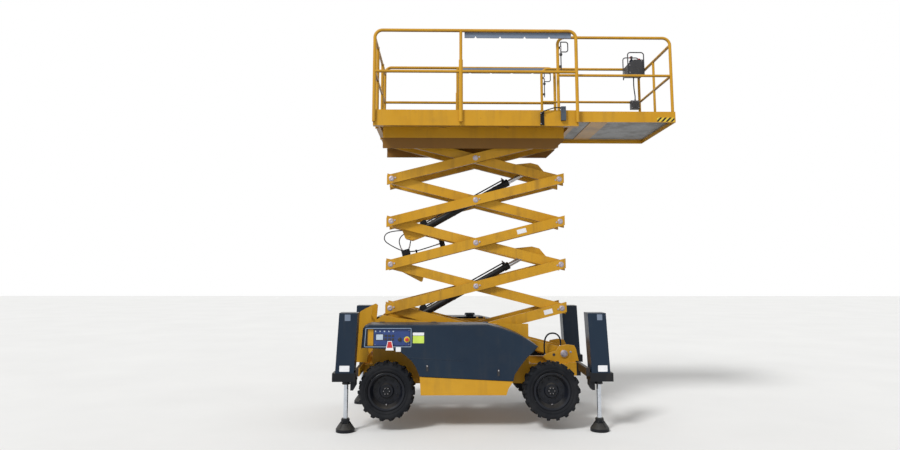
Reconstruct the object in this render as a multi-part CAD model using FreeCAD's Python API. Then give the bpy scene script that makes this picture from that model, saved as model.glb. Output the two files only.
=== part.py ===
import FreeCAD, Part
import math
import os

V = FreeCAD.Vector

# scissor stack
stages = 5
arm_len = 2250.0
arm_depth = 120.0
arm_end = 62.0
arm_end_skew = 15.0
rest_deg = 14.2
pivot_x = 688.0
pivot_z = 820.0
arm_wall = 6.0
outer_y = (246.0, 304.0)
inner_y = (184.0, 240.0)
shaft_r = 25.0
tube_r = 38.0
bore_gap = 0.4
seat = 0.3
cap_r = 23.0
cap_len = 6.0
roller_r = 48.0
roller_y = (312.0, 350.0)

# lift cylinders, measured from the arms' pins along and across the arm
foot_along = 268.0
foot_across = -122.0
head_along = 350.0
head_across = 90.0
barrel_r = 47.0
barrel_slim_r = 40.0
barrel_share = 2 / 3
rod_r = 29.0
lug_y = (146.0, 168.0)
eye_pin_r = 20.0

# wheels
wheel_z = 448.0
tyre_r = 334.0
tyre_half = 130.0
wheel_y = 770.0
rim_r = 212.0
king_y = 640.0
lug_count = 18
tyre_sides = 36
lug_depth = 18.0

# outriggers
leg_gap = {"rear": 136.0, "front": 217.0}
leg_y = 840.0
leg_r = 26.0
leg_top = 985.0
foot_r = 109.0
base_z = (541.0, 668.0)
cover_z = (668.3, 1352.0)
cover_half = 108.0
cover_wall = 5.0
cover_lean = 34.0

# chassis
beam_y = (345.0, 425.0)
beam_z = (470.0, 700.0)
chassis_over = (207.0, 142.0)
channel_gap = 5.0
channel_wall = 8.0
hood_y = (492.0, 868.0)
hood_wall = 4.0
hood_hinge = (482.0, 1206.0)
hood_round = 22.0
panel_flange = 9.0
panel_depth = 30.0
side_box_y = (425.3, 880.0)

# hoses, by the chassis and on the far side of the third stage
ring_r = 10.0
ring_y = -325.0
hose_r = 7.0
hose_y = (361.0, 377.0, 393.0)
hose_bend = 58.0

# platform
deck_over = (207.0, 174.0)
deck_half = 755.0
floor_over = 155.0
toe_up = 97.0
skirt_down = 103.0
rail_out = 15.0
rail_up = 1115.0
rail_r = 21.0
bend_r = 95.0
gate_half = 330.0
gate_hinge_in = (170.0, 290.0)

# extension deck
ext_over = (-48.0, 1410.0)
ext_gap = 50.0
ext_rail_in = 5.0
ext_rail_drop = 44.0
ext_post_in = (-8.0, 21.0)
ext_lift = 14.0
control_in = (370.0, 140.0)
control_len = 230.0
control_over = (-166.0, 44.0)

rest = math.radians(rest_deg)
run = arm_len * math.cos(rest)
rise = arm_len * math.sin(rest)
left_x = pivot_x - run
channel_end = left_x + 0.45 * run
barrel_len = barrel_share * arm_len

wheel_x = {"rear": left_x + 10, "front": pivot_x - 236}
leg_x = {"rear": wheel_x["rear"] - tyre_r - leg_gap["rear"],
         "front": wheel_x["front"] + tyre_r + leg_gap["front"]}
chassis_x = (left_x - chassis_over[0], pivot_x + chassis_over[1])
deck_x = (left_x - deck_over[0], pivot_x + deck_over[1])
ext_x = (pivot_x + ext_over[0], pivot_x + ext_over[1])
ext_post_x = ext_x[0] + ext_post_in[0]
ext_front_x = ext_x[1] - ext_post_in[1]
floor_z = round(pivot_z + stages * rise) + floor_over
toe_top = floor_z + toe_up
skirt_bottom = floor_z - skirt_down
rail_z = floor_z + rail_up
rail_y = deck_half + rail_out
ext_half = deck_half - ext_gap
ext_rail_y = ext_half - ext_rail_in
ext_rail_z = rail_z - ext_rail_drop
control_y = (ext_rail_y - control_in[0], ext_rail_y - control_in[1])
control_z = (ext_rail_z + control_over[0], ext_rail_z + control_over[1])
mid_z = (floor_z + rail_z) / 2 + 25
gate_hinges = (floor_z + gate_hinge_in[0], rail_z - gate_hinge_in[1])


def box(x0, x1, y0, y1, z0, z1):
    return Part.makeBox(x1 - x0, y1 - y0, z1 - z0, V(x0, y0, z0))


def rod(p, q, r):
    p, q = V(*p), V(*q)
    return Part.makeCylinder(r, (q - p).Length, p, q - p)


def prism(points, y0, y1):
    wire = Part.makePolygon([V(x, y0, z) for x, z in points + points[:1]])
    return Part.Face(wire).extrude(V(0, y1 - y0, 0))


def plank(points, x0, x1):
    wire = Part.makePolygon([V(x0, y, z) for y, z in points + points[:1]])
    return Part.Face(wire).extrude(V(x1 - x0, 0, 0))


def flip(shape):
    return shape.mirror(V(0, 0, 0), V(0, 1, 0))


def both(shape):
    return [shape, flip(shape)]


def fuse(shapes):
    first, rest_of = shapes[0], list(shapes[1:])
    return first.fuse(rest_of).removeSplitter() if rest_of else first


def cut(shape, tools):
    return shape.cut(tools)


def bent_tube(points, r, bend):
    """Round tube through the points, every inner corner rounded to the bend radius."""
    pts = [V(*p) for p in points]
    pieces = []
    start = pts[0]
    for i in range(1, len(pts)):
        if i == len(pts) - 1:
            pieces.append(Part.makeCylinder(r, (pts[i] - start).Length, start, pts[i] - start))
            break
        a = (pts[i] - pts[i - 1]).normalize()
        b = (pts[i + 1] - pts[i]).normalize()
        turn = a.getAngle(b)
        back = bend * math.tan(turn / 2)
        stop = pts[i] - a * back
        pieces.append(Part.makeCylinder(r, (stop - start).Length, start, a))
        axis = a.cross(b).normalize()
        centre = stop + axis.cross(a) * bend
        disc = Part.Face(Part.Wire(Part.makeCircle(r, stop, a)))
        pieces.append(disc.revolve(centre, axis, math.degrees(turn)))
        start = pts[i] + b * back
    return fuse(pieces)


def save(name, shape):
    if isinstance(shape, list):
        shape = Part.makeCompound(shape)
    shape.exportStep("parts/%s.step" % name)


def along(k, kind, dist, off):
    """Point on an inner arm, from its upper-left or lower-right pin."""
    c, s = math.cos(rest), math.sin(rest)
    low = (pivot_x, pivot_z + (k - 1) * rise)
    if kind == "foot":
        dist = arm_len - dist
    return low[0] - dist * c + off * s, low[1] + dist * s + off * c


def on_outer(k, dist, off):
    """Point on an outer arm, along from its lower-left pin and off across it."""
    c, s = math.cos(rest), math.sin(rest)
    return left_x + dist * c - off * s, pivot_z + (k - 1) * rise + dist * s + off * c


def arm_bar(x0, z0, x1, z1, y0, y1):
    """Hollow box arm between two pins, its ends cut near upright, solid round its three bosses."""
    dx, dz = (x1 - x0) / arm_len, (z1 - z0) / arm_len
    lean = arm_end_skew if dx * dz > 0 else -arm_end_skew

    def corner(x, z, end, off):
        return x + dx * end - dz * off, z + dz * end + dx * off

    def bar(end, half, ya, yb):
        slant = lean * half / (arm_depth / 2)
        return prism([corner(x0, z0, -end - slant, -half), corner(x1, z1, end - slant, -half),
                      corner(x1, z1, end + slant, half), corner(x0, z0, -end + slant, half)], ya, yb)

    skin = cut(bar(arm_end, arm_depth / 2, y0, y1),
               [bar(arm_end + 1, arm_depth / 2 - arm_wall, y0 + arm_wall, y1 - arm_wall)])
    bosses = [rod((x0 + (x1 - x0) * t, y0 + 1, z0 + (z1 - z0) * t),
                  (x0 + (x1 - x0) * t, y1 - 1, z0 + (z1 - z0) * t), tube_r) for t in (0, 0.5, 1)]
    return fuse([skin] + bosses)


def outer_pair(k):
    x0, z0 = left_x, pivot_z + (k - 1) * rise
    x1, z1 = pivot_x, pivot_z + k * rise
    xc, zc = (x0 + x1) / 2, (z0 + z1) / 2
    pieces = both(arm_bar(x0, z0, x1, z1, *outer_y))
    for x, z in ((x0, z0), (x1, z1)):
        reach = roller_y[1] + 20 if k == stages and x == x1 else outer_y[1] + cap_len
        pieces.append(rod((x, -reach, z), (x, reach, z), shaft_r))
    pieces += both(rod((xc, inner_y[0] + 2, zc), (xc, outer_y[1] + cap_len, zc), cap_r))
    if k == 1:
        pieces += both(rod((x0, outer_y[1] - 2, z0), (x0, roller_y[0], z0), shaft_r + 6))
        pieces += both(rod((x0, roller_y[0] - 0.5, z0), (x0, roller_y[1], z0), roller_r))
        spots = [on_outer(1, dist, off) for dist, off in ((1532, -55), (1532, -82), (1598, -82), (1598, -55))]
        pieces += both(prism(spots, outer_y[0] + 6, outer_y[1] - 6))
    return fuse(pieces)


def inner_pair(k):
    x0, z0 = pivot_x, pivot_z + (k - 1) * rise
    x1, z1 = left_x, pivot_z + k * rise
    xc, zc = (x0 + x1) / 2, (z0 + z1) / 2
    pieces = both(arm_bar(x0, z0, x1, z1, *inner_y))
    for x, z in ((x0, z0), (x1, z1)):
        pieces.append(rod((x, -inner_y[0] - 1, z), (x, inner_y[0] + 1, z), tube_r))

    def at(kind, dist, off):
        return along(k, kind, dist, off)

    if k in (1, 3):
        outline = [at("foot", 90, -20), at("foot", 150, -60), at("foot", 225, -165),
                   at("foot", 315, -165), at("foot", 470, -55), at("foot", 470, -20)]
        pieces += both(prism(outline, lug_y[0], lug_y[1]))
        weld = [at("foot", 120, -50), at("foot", 120, 12), at("foot", 450, 12), at("foot", 450, -50)]
        pieces += both(prism(weld, lug_y[1] - 1, inner_y[0] + 1))
        px, pz = at("foot", foot_along, foot_across)
        pieces += [rod((px, -lug_y[1] - 8, pz), (px, lug_y[1] + 8, pz), eye_pin_r)]
    if k == 2:
        pieces += both(prism([at("foot", 80, -40), at("foot", 440, -40), at("foot", 440, -118),
                              at("foot", 430, -122)],
                             lug_y[1], lug_y[1] + 10))
        pieces += both(prism([at("foot", 90, -50), at("foot", 90, -44), at("foot", 430, -44),
                              at("foot", 430, -50)],
                             lug_y[1], inner_y[0] + 1))
    if k in (3, 5):
        outline = [at("head", 150, 0), at("head", 190, 62), at("head", 300, 140),
                   at("head", 400, 140), at("head", 620, 60), at("head", 640, 0)]
        pieces += both(prism(outline, lug_y[0], lug_y[1]))
        weld = [at("head", 180, -20), at("head", 180, 50), at("head", 610, 50), at("head", 610, -20)]
        pieces += both(prism(weld, lug_y[1] - 1, inner_y[0] + 1))
    bores = [(x0, z0, shaft_r), (xc, zc, cap_r)] + ([(x1, z1, shaft_r)] if k < stages else [])
    shape = cut(fuse(pieces), [rod((x, -400, z), (x, 400, z), r + bore_gap) for x, z, r in bores])
    if k == stages:
        ends = [rod((x1, inner_y[1] - 2, z1), (x1, roller_y[0], z1), shaft_r + 6),
                rod((x1, roller_y[0] - 0.5, z1), (x1, roller_y[1], z1), roller_r)]
        shape = fuse([shape] + ends + [flip(end) for end in ends])
    return shape


def cylinder(k):
    """Barrel and rod of the lift cylinder that stands on inner arm k."""
    fx, fz = along(k, "foot", foot_along, foot_across)
    hx, hz = along(k + 2, "head", head_along, head_across)
    length = math.hypot(hx - fx, hz - fz)
    ux, uz = (hx - fx) / length, (hz - fz) / length

    def on(d, off=0.0):
        return fx + ux * d - uz * off, fz + uz * d + ux * off

    def span(d0, d1, r, off=0.0, y=0.0):
        (ax, az), (bx, bz) = on(d0, off), on(d1, off)
        return rod((ax, y, az), (bx, y, bz), r)

    slim = barrel_len * 0.62
    barrel = fuse([rod((fx, -48, fz), (fx, 48, fz), 44.0), span(20, slim, barrel_r),
                   span(slim - 5, barrel_len - 70, barrel_slim_r),
                   span(barrel_len - 75, barrel_len, barrel_slim_r + 8),
                   span(150, barrel_len - 60, 9.0, barrel_slim_r + 22),
                   span(150, 190, 16.0, barrel_r + 6),
                   prism([on(200, 40), on(290, 40), on(290, 92), on(268, 104), on(222, 104), on(200, 92)],
                         -34, 34),
                   span(barrel_len - 70, barrel_len - 30, 15.0, barrel_slim_r + 14)])
    barrel = cut(barrel, [rod((fx, -60, fz), (fx, 60, fz), eye_pin_r + bore_gap),
                          span(120, barrel_len + 5, rod_r + bore_gap)])
    piston = fuse([span(length - barrel_len + 20, length - 20, rod_r), rod((hx, -46, hz), (hx, 46, hz), 42.0),
                   rod((hx, -lug_y[0] + 6, hz), (hx, lug_y[0] - 6, hz), eye_pin_r)])
    return barrel, piston


def tyre_ring():
    """Flat-sided ring of the tyre about the Y axis, closed all round."""
    half, flat = tyre_half, math.cos(math.pi / tyre_sides)
    tread = tyre_r - lug_depth
    profile = [((rim_r + 4) / flat, 34 - half), (rim_r + 30, 8 - half), (rim_r + 74, -half),
               (tyre_r - 34, 16 - half),
               (tread, 44 - half), (tread, half - 44), (tyre_r - 34, half - 16), (rim_r + 74, half),
               (rim_r + 30, half - 8), ((rim_r + 4) / flat, half - 34)]
    faces = []
    for i in range(tyre_sides):
        turns = [2 * math.pi * (i + step) / tyre_sides for step in (0, 1)]
        for (r0, y0), (r1, y1) in zip(profile, profile[1:] + profile[:1]):
            spots = ((r0, y0, turns[0]), (r1, y1, turns[0]), (r1, y1, turns[1]), (r0, y0, turns[1]))
            corners = [V(r * math.cos(t), y, r * math.sin(t)) for r, y, t in spots]
            faces.append(Part.Face(Part.makePolygon(corners + corners[:1])))
    shell = Part.makeShell(faces)
    shell.sewShape()
    ring = Part.makeSolid(shell)
    return ring if ring.Volume > 0 else ring.reversed()


def tread_bar(hand):
    """Slanting bar from near the tread's middle out over one shoulder; z grows outward."""
    half, low, high = tyre_half, tyre_r - 52, tyre_r - 1.5
    side = plank([(hand * y, z) for y, z in ((4, low), (4, high), (half - 28, high), (half - 3, high - 18),
                                             (half - 3, low))], -70, 70)
    foot_print = [V(x, hand * y, low - 1) for x, y in ((-26, 0), (20, 0), (56, half), (8, half))]
    return Part.Face(Part.makePolygon(foot_print + foot_print[:1])).extrude(V(0, 0, 60)).common(side)


def tyre():
    """Tyre with two rows of slanting tread bars, half a pitch apart."""
    bars = []
    for hand in (-1, 1):
        bar = tread_bar(hand)
        for i in range(lug_count):
            bars.append(bar.copy().rotate(V(0, 0, 0), V(0, 1, 0), 360.0 * (i + 0.25 * hand) / lug_count))
    return tyre_ring().fuse(bars)


def rim():
    """Dished disc wheel with its hub; y grows outward."""
    half = tyre_half
    lip, bead = rim_r + 3.7, rim_r - 6
    profile = [(24 + bore_gap, -22), (24 + bore_gap, 50), (74, 50), (88, 26), (rim_r - 52, 20),
               (rim_r - 22, half - 30),
               (lip, half - 24),
               (lip, half - 36), (bead, half - 46), (bead, 46 - half), (lip, 36 - half), (lip, 24 - half),
               (rim_r - 20, 24 - half), (rim_r - 28, 4), (rim_r - 62, 4), (36, 4), (36, -22)]
    wire = Part.makePolygon([V(r, y, 0) for r, y in profile + profile[:1]])
    cap = rod((0, 0, 0), (0, 62, 0), 38)
    return fuse([Part.Face(wire).revolve(V(0, 0, 0), V(0, 1, 0), 360), cap])


def placed(shape, x, side):
    shape = flip(shape) if side < 0 else shape.copy()
    shape.translate(V(x, side * wheel_y, wheel_z))
    return shape


def knuckle(side):
    """Steering knuckle with kingpin barrel, arm and stub axle."""
    x = wheel_x["front"]
    pieces = [rod((x, king_y, wheel_z - 62), (x, king_y, wheel_z + 62), 40),
              rod((x, king_y, wheel_z), (x, wheel_y - 24, wheel_z), 34),
              rod((x, king_y + 45, wheel_z), (x, wheel_y - 45, wheel_z), 62),
              box(x - 150, x, king_y - 22, king_y + 10, wheel_z - 40, wheel_z - 22)]
    shape = cut(fuse(pieces), [rod((x, king_y, wheel_z - 80), (x, king_y, wheel_z + 80), 20 + bore_gap)])
    pin = rod((x, wheel_y - 40, wheel_z), (x, wheel_y - 2, wheel_z), 24)
    shape = fuse([shape, pin])
    return shape if side > 0 else flip(shape)


def chassis_frame():
    x0, x1 = chassis_x
    parts = []
    parts += both(box(x0, x1 - 90, beam_y[0], beam_y[1], beam_z[0], beam_z[1]))
    for i in range(7):
        x = x0 + (x1 - 150 - x0) * i / 6
        parts.append(box(x, x + 60, -beam_y[0] - 1, beam_y[0] + 1, beam_z[0] + 20, beam_z[1] - 60))
    low, high = pivot_z - roller_r - channel_gap, pivot_z + roller_r + channel_gap
    cx0, cx1 = left_x - 145, channel_end
    web = (roller_y[1] + 6, roller_y[1] + 6 + channel_wall)
    parts += both(box(cx0, cx1, web[0], web[1], beam_z[1] - 10, high + channel_wall))
    parts += both(box(cx0, cx1, roller_y[0] + 4, web[1], low - channel_wall, low))
    parts += both(box(cx0, cx1, roller_y[0] + 4, web[1], high, high + channel_wall))
    parts += both(box(cx0, cx1, beam_y[0] + 10, web[1], beam_z[1] - 20, low - channel_wall + 1))
    lug = [(-133, -85), (-223, -76), (-258, -45), (-218, -5), (-98, 30), (-53, 91), (49, 109), (133, 97),
           (154, 53), (191, -127), (136, -262), (-48, -280)]
    plate = prism([(pivot_x + dx, pivot_z + dz) for dx, dz in lug], 336, 372)
    boss = rod((pivot_x, 330, pivot_z), (pivot_x, 384, pivot_z), 52)
    parts += both(fuse([plate, boss]))
    parts.append(rod((pivot_x, -392, pivot_z), (pivot_x, 392, pivot_z), shaft_r))
    parts.append(box(pivot_x - 78, pivot_x + 52, -340, 340, 600, 660))
    for x, s in ((leg_x["rear"], 1), (leg_x["front"], -1)):
        bx0, bx1 = sorted((x + s * (118 + seat), x + s * 160))
        parts.append(box(bx0, bx1, -930, 930, beam_z[1] - 70, beam_z[1] + 22))
    parts += both(box(x0 - 100, x0 + 2, beam_y[0], beam_y[1], beam_z[1] - 140, beam_z[1]))
    parts += both(box(x1 - 100, leg_x["front"] - 120, beam_y[0], beam_y[1], beam_z[1] - 140, beam_z[1] + 15))
    for name in ("rear", "front"):
        x = wheel_x[name]
        parts.append(box(x - 60, x + 60, -beam_y[1], beam_y[1], wheel_z + 10, beam_z[0] + 30))
    return fuse(parts)


def axles():
    x = wheel_x["rear"]
    rear = fuse([box(x - 55, x + 55, -560, 560, wheel_z - 55, wheel_z + 9.7),
                 *both(rod((x, 540, wheel_z), (x, wheel_y - 30, wheel_z), 66)),
                 *both(rod((x, 560, wheel_z), (x, wheel_y - 2, wheel_z), 24))])
    x = wheel_x["front"]
    front = [box(x - 50, x + 50, -500, 500, wheel_z - 50, wheel_z + 9.7)]
    for s in (-1, 1):
        yoke0, yoke1 = sorted((s * 490, s * (king_y + 40)))
        for z in (wheel_z - 90, wheel_z + 66):
            front.append(box(x - 42, x + 42, yoke0, yoke1, z, z + 24))
        front.append(box(x - 42, x + 42, min(s * 490, s * 530), max(s * 490, s * 530),
                         wheel_z - 90, wheel_z + 90))
        front.append(rod((x, s * king_y, wheel_z - 100), (x, s * king_y, wheel_z + 100), 20))
    return [rear, fuse(front)]


def outrigger_bases():
    """Foot blocks that guide the legs, each with a bracket below on the wheel's side."""
    parts = []
    block_line = [(-152, base_z[0] + 30), (118, base_z[0] + 30), (118, base_z[1]), (-152, base_z[1])]
    bracket_line = [(56, 468), (88, 468), (118, 520), (118, base_z[0] + 31), (56, base_z[0] + 31)]
    for name, x in leg_x.items():
        toward = 1 if name == "rear" else -1
        for side in (-1, 1):
            y = side * leg_y
            block = fuse([prism([(x + toward * dx, z) for dx, z in line], y - wide, y + wide)
                          for line, wide in ((block_line, 105), (bracket_line, 62))]
                         + [rod((x, y, base_z[0]), (x, y, base_z[1]), 46)])
            parts.append(cut(block, [rod((x, y, 300), (x, y, 1400), leg_r + bore_gap)]))
    return parts


def outrigger_covers():
    parts = []
    z0, z1 = cover_z
    for name, x in leg_x.items():
        s = 1 if name == "rear" else -1
        for side in (-1, 1):
            y = side * leg_y
            w = cover_half
            low = x - s * 10
            outer = prism([(low - w, z0), (low + w, z0), (low + w + s * cover_lean, z1),
                           (low - w + s * cover_lean, z1)], y - 105, y + 105)
            t = cover_wall
            inner = prism([(low - w + t, z0 - 1), (low + w - t, z0 - 1), (low + w - t + s * cover_lean, z1 - t),
                           (low - w + t + s * cover_lean, z1 - t)], y - 105 + t, y + 105 - t)
            parts.append(cut(outer, [inner]))
    return parts


def leg(x, side):
    return rod((x, side * leg_y, 92), (x, side * leg_y, leg_top), leg_r)


def foot(x, side):
    y = side * leg_y
    pad = Part.makeCone(foot_r, 62, 58, V(x, y, 34), V(0, 0, 1))
    return cut(fuse([Part.makeCylinder(foot_r, 34.2, V(x, y, 0), V(0, 0, 1)), pad,
                     Part.makeCylinder(46, 60, V(x, y, 88), V(0, 0, 1))]),
               [Part.makeCylinder(leg_r + 0.3, 80, V(x, y, 91.7), V(0, 0, 1))])


# outline from the rear wheel and on from the front wheel, along and up
hood_rear = [(-302, 489), (-285, 720), (-259, 754), (-217, 766)]
hood_front = [(-752, 766), (-582, 727), (-472, 689), (-352, 636), (-219, 556), (-152, 510), (-190, 466),
              (-286, 390), (-368, 287), (-436, 190), (-455, 117)]
hood_arch = [(387, 172), (340, 279), (293, 348), (217, 411), (161, 451), (-25, 476)]
hood_rear_in = [(-298, 452), (-281, 718), (-257, 749), (-216, 762)]
hood_front_in = [(-753, 762), (-584, 723), (-474, 685), (-354, 632), (-221, 552), (-158, 509), (-192, 471),
                 (-289, 393), (-372, 290), (-440, 193), (-460, 72)]
hood_arch_in = [(392, 112), (344, 277), (296, 345), (220, 407), (163, 446), (-25, 452)]


def hood_points(rear, front, arch):
    spots = [("rear", rear), ("front", front), ("rear", arch)]
    return [(wheel_x[name] + dx, wheel_z + dz) for name, points in spots for dx, dz in points]


def hinge_spots():
    x0, x1 = wheel_x["rear"] - 87, wheel_x["front"] - 752
    return [x0, (x0 + x1) / 2, x1]


# window of the ground controls and the latches, from the rear wheel: along and up
panel_window = [(-257, 515), (278, 515), (278, 717), (-243, 717)]
latch_spots = [(457, 493, 225, 304), (1295, 1326, 166, 256)]


def rounded_hood(points, y0, y1, r):
    """Hood block with its outer shoulder rounded along the ends and the top."""
    block = prism(points, y0, y1)
    floor = wheel_z + hood_arch_in[-1][1] + 30
    edges = [e for e in block.Edges
             if all(abs(v.Y - y1) < 0.01 for v in e.Vertexes) and max(v.Z for v in e.Vertexes) > floor]
    return block.makeFillet(r, edges)


def hood(side):
    """Side hood, open underneath and on the machine's inner side."""
    outer = rounded_hood(hood_points(hood_rear, hood_front, hood_arch), hood_y[0], hood_y[1], hood_round)
    inner = rounded_hood(hood_points(hood_rear_in, hood_front_in, hood_arch_in), hood_y[0] - 1,
                         hood_y[1] - hood_wall, hood_round - hood_wall)
    y, z = hood_hinge
    rings = [rod((x - 30, y, z), (x + 30, y, z), 13) for x in hinge_spots()]
    leaves = [box(x - 30, x + 30, y, hood_y[0] + 20, z + 7.5, z + 12) for x in hinge_spots()]
    shape = fuse([cut(outer, [inner])] + rings + leaves)
    holes = [rod((x - 40, y, z), (x + 40, y, z), 7 + bore_gap) for x in hinge_spots()]
    a = wheel_x["rear"]
    holes += [box(a + x0, a + x1, hood_y[1] - 2.5, hood_y[1] + 1, wheel_z + z0, wheel_z + z1)
              for x0, x1, z0, z1 in latch_spots]
    if side < 0:
        holes.append(prism([(a + dx, wheel_z + dz) for dx, dz in panel_window], hood_y[1] - 10, hood_y[1] + 1))
        return flip(cut(shape, holes))
    cap_x, cap_y, top = a + 1039, hood_y[0] + 95, wheel_z + hood_front[0][1]
    cap = fuse([rod((cap_x, cap_y, top - 2), (cap_x, cap_y, top + 22), 56),
                Part.makeCone(76, 66, 26, V(cap_x, cap_y, top + 21), V(0, 0, 1))])
    return cut(fuse([shape, cap]), holes)


def ground_panel():
    """Tray of the ground controls behind the near hood's window, with its stop button and knob."""
    a, face = wheel_x["rear"], hood_y[1] - hood_wall - seat

    def grown(by):
        corner = [(-by, -by), (by, -by), (by, by), (-by, by)]
        return [(a + dx + gx, wheel_z + dz + gz) for (dx, dz), (gx, gz) in zip(panel_window, corner)]

    tray = fuse([prism(grown(panel_flange), face - 3, face), prism(grown(4), face - panel_depth, face)])
    tray = cut(tray, [prism(grown(0), face - panel_depth + 4, face + 1)])
    back = face - panel_depth + 4
    knobs = [rod((a + dx, back - 1, wheel_z + 591), (a + dx, back + reach, wheel_z + 591), r)
             for dx, reach, r in ((234, 6, 30), (234, 22, 19), (149, 16, 17))]
    return flip(fuse([tray] + knobs))


def side_boxes():
    a, b = wheel_x["rear"], wheel_x["front"]
    outline = [(a + 387, wheel_z + 164), (a + 401, wheel_z - 44), (b - 535, wheel_z - 44),
               (b - 510, wheel_z + 30), (b - 458, wheel_z + 105), (b - 462, wheel_z + 112)]
    return both(prism(outline, side_box_y[0], side_box_y[1] - 20))


def inner_panels():
    """Shelves and back plates under the hoods."""
    y0 = beam_y[1] + seat
    a, b = wheel_x["rear"], wheel_x["front"]
    y, z = hood_hinge
    pieces = [box(a - 207, b - 212, y0, y0 + 6, beam_z[1] - 60, z - 16),
              box(a - 207, b - 600, y0, y - 7, z - 22, z - 16),
              box(a + 387, b - 472, y0, hood_y[1] - 18, beam_z[1], beam_z[1] + 6)]
    crest = [(-190, 742), (-185, 778), (-87, 851), (99, 814), (471, 765), (471, 742)]
    inside = [(-184, 741), (-179, 775), (-86, 844), (98, 808), (465, 760), (465, 741)]
    pieces.append(cut(prism([(a + dx, wheel_z + dz) for dx, dz in crest], y0, y0 + 38),
                      [prism([(a + dx, wheel_z + dz) for dx, dz in inside], y0 - 1, y0 + 33)]))
    for x in hinge_spots():
        pieces.append(rod((x - 62, y, z), (x + 62, y, z), 7))
        pieces += [box(x + d - 12, x + d + 12, y0, y + 7, z - 22, z) for d in (-50, 50)]
    return both(fuse(pieces))


def engine():
    x = (wheel_x["rear"] + wheel_x["front"]) / 2
    return box(x - 385, x + 365, 460, 840, beam_z[1] + 6 + seat, 1120)


def ladder():
    """Rear end plates with steps between them."""
    beam, x0 = beam_z[1], chassis_x[0]
    low = beam + 22 + seat
    outline = [(x0 - 205, low), (x0 - 177, beam + 611), (x0 - 146, beam + 643), (x0 - 91, beam + 675),
               (x0 - 36, beam + 698), (x0 - 8, beam + 675), (x0 - 60, low)]
    side = prism(outline, 398, 410)
    steps = [rod((x0 - dx, -398.5, beam + up), (x0 - dx, 398.5, beam + up), 14)
             for dx, up in ((162, 80), (148, 330), (132, 570))]
    back = box(x0 - 68, x0 - 60, -399, 399, low, beam + 90)
    return fuse(both(side) + steps + [back])


def platform_deck():
    x0, x1 = deck_x
    inner = ext_half - 17
    parts = [box(x0, x1, -inner, inner, floor_z - 6, floor_z)]
    parts += both(plank([(inner, floor_z), (inner - 6, floor_z), (inner - 6, skirt_bottom),
                         (deck_half + 12, skirt_bottom),
                         (deck_half + 12, toe_top), (deck_half, toe_top), (deck_half, skirt_bottom + 8),
                         (inner, skirt_bottom + 8)], x0, x1))
    for s in (-1, 1):
        y0, y1 = sorted((s * (gate_half + 20), s * (deck_half + 1)))
        parts.append(box(x0, x0 + 10, y0, y1, floor_z - 5, toe_top))
    for i in range(4):
        x = x0 + (x1 - 60 - x0) * i / 3
        parts += both(box(x, x + 60, 200, inner - 1, floor_z - 50, floor_z - 5))
    parts.append(box(x0, x0 + 60, -210, 210, floor_z - 50, floor_z - 5))
    parts.append(box(x1 - 60, x1, -210, 210, floor_z - 50, floor_z - 5))
    zr = pivot_z + stages * rise
    low, high = zr - roller_r - channel_gap, zr + roller_r + channel_gap
    web = (roller_y[1] + 6, roller_y[1] + 6 + channel_wall)
    cx0, cx1 = left_x - 115, pivot_x + 60
    outline = [(cx0, low - 110), (cx1 - 120, low - 110), (cx1, low), (cx1, floor_z - 5), (cx0, floor_z - 5)]
    parts += both(prism(outline, web[0], web[1]))
    parts += both(box(cx0, channel_end, roller_y[0] + 4, web[1], low - channel_wall, low))
    parts += both(box(cx0, channel_end, roller_y[0] + 4, web[1], high, high + channel_wall))
    shape = fuse(parts)
    x = pivot_x
    holes = both(rod((x, 350, zr), (x, 420, zr), shaft_r + bore_gap))
    post_x, post_y = x0 + 12, gate_half + 36
    holes += both(rod((post_x, post_y, skirt_bottom), (post_x, post_y, toe_top + 10), rail_r + seat))
    y = rail_y + 18
    holes += both(rod((mid_post(), y, skirt_bottom), (mid_post(), y, toe_top + 10), rail_r + 5 + seat))
    return cut(shape, holes)


def mid_post():
    return (deck_x[0] + deck_x[1]) / 2 - 189


def main_rails():
    x0, x1 = deck_x[0] + 12, deck_x[1] - 16
    parts = []
    foot_z = floor_z - 60
    y = rail_y + 18
    side = bent_tube([(x0, y, foot_z), (x0, y, rail_z), (x1, y, rail_z), (x1, y, foot_z)], rail_r, bend_r)
    mid = rod((x0, y, mid_z), (x1, y, mid_z), rail_r - 2)
    post = rod((mid_post(), y, foot_z), (mid_post(), y, rail_z), rail_r - 2)
    sleeve = rod((mid_post(), y, foot_z), (mid_post(), y, mid_z + 150), rail_r + 5)
    parts += both(fuse([side, mid, post, sleeve]))
    for s in (-1, 1):
        gate_y = s * (gate_half + 36)
        end = [rod((x0, s * y, rail_z - 100), (x0, gate_y, rail_z - 100), rail_r - 2),
               rod((x0, s * y, mid_z), (x0, gate_y, mid_z), rail_r - 2),
               rod((x0, gate_y, foot_z), (x0, gate_y, rail_z - 80), rail_r)]
        parts += end
    for z in gate_hinges:
        parts += [box(x0 - 9, x0 - 1, -gate_half - 36, -gate_half + 2, z - 12, z - seat),
                  rod((x0, -gate_half - 1, z - 0.9), (x0, -gate_half - 1, z + 44), 5)]
    return fuse(parts)


def slide_bars():
    """Notched bars under the top rails that the extension's locks drop into."""
    x0, x1, y = deck_x[0] + 12, deck_x[1] - 16, rail_y + 18
    b0, b1 = mid_post() + 48, x1 - 56
    notched = [(b0, rail_z - 5), (b0, rail_z - 88)]
    for i in range(4):
        nx = b0 + 140 + i * 311
        notched += [(nx - 16, rail_z - 88), (nx, rail_z - 62), (nx + 16, rail_z - 88)]
    notched += [(b1, rail_z - 88), (b1, rail_z - 5)]
    tube = bent_tube([(x0, y, floor_z), (x0, y, rail_z), (x1, y, rail_z), (x1, y, floor_z)],
                     rail_r + seat, bend_r)
    return both(cut(prism(notched, y - 31, y - 17), [tube]))


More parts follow.
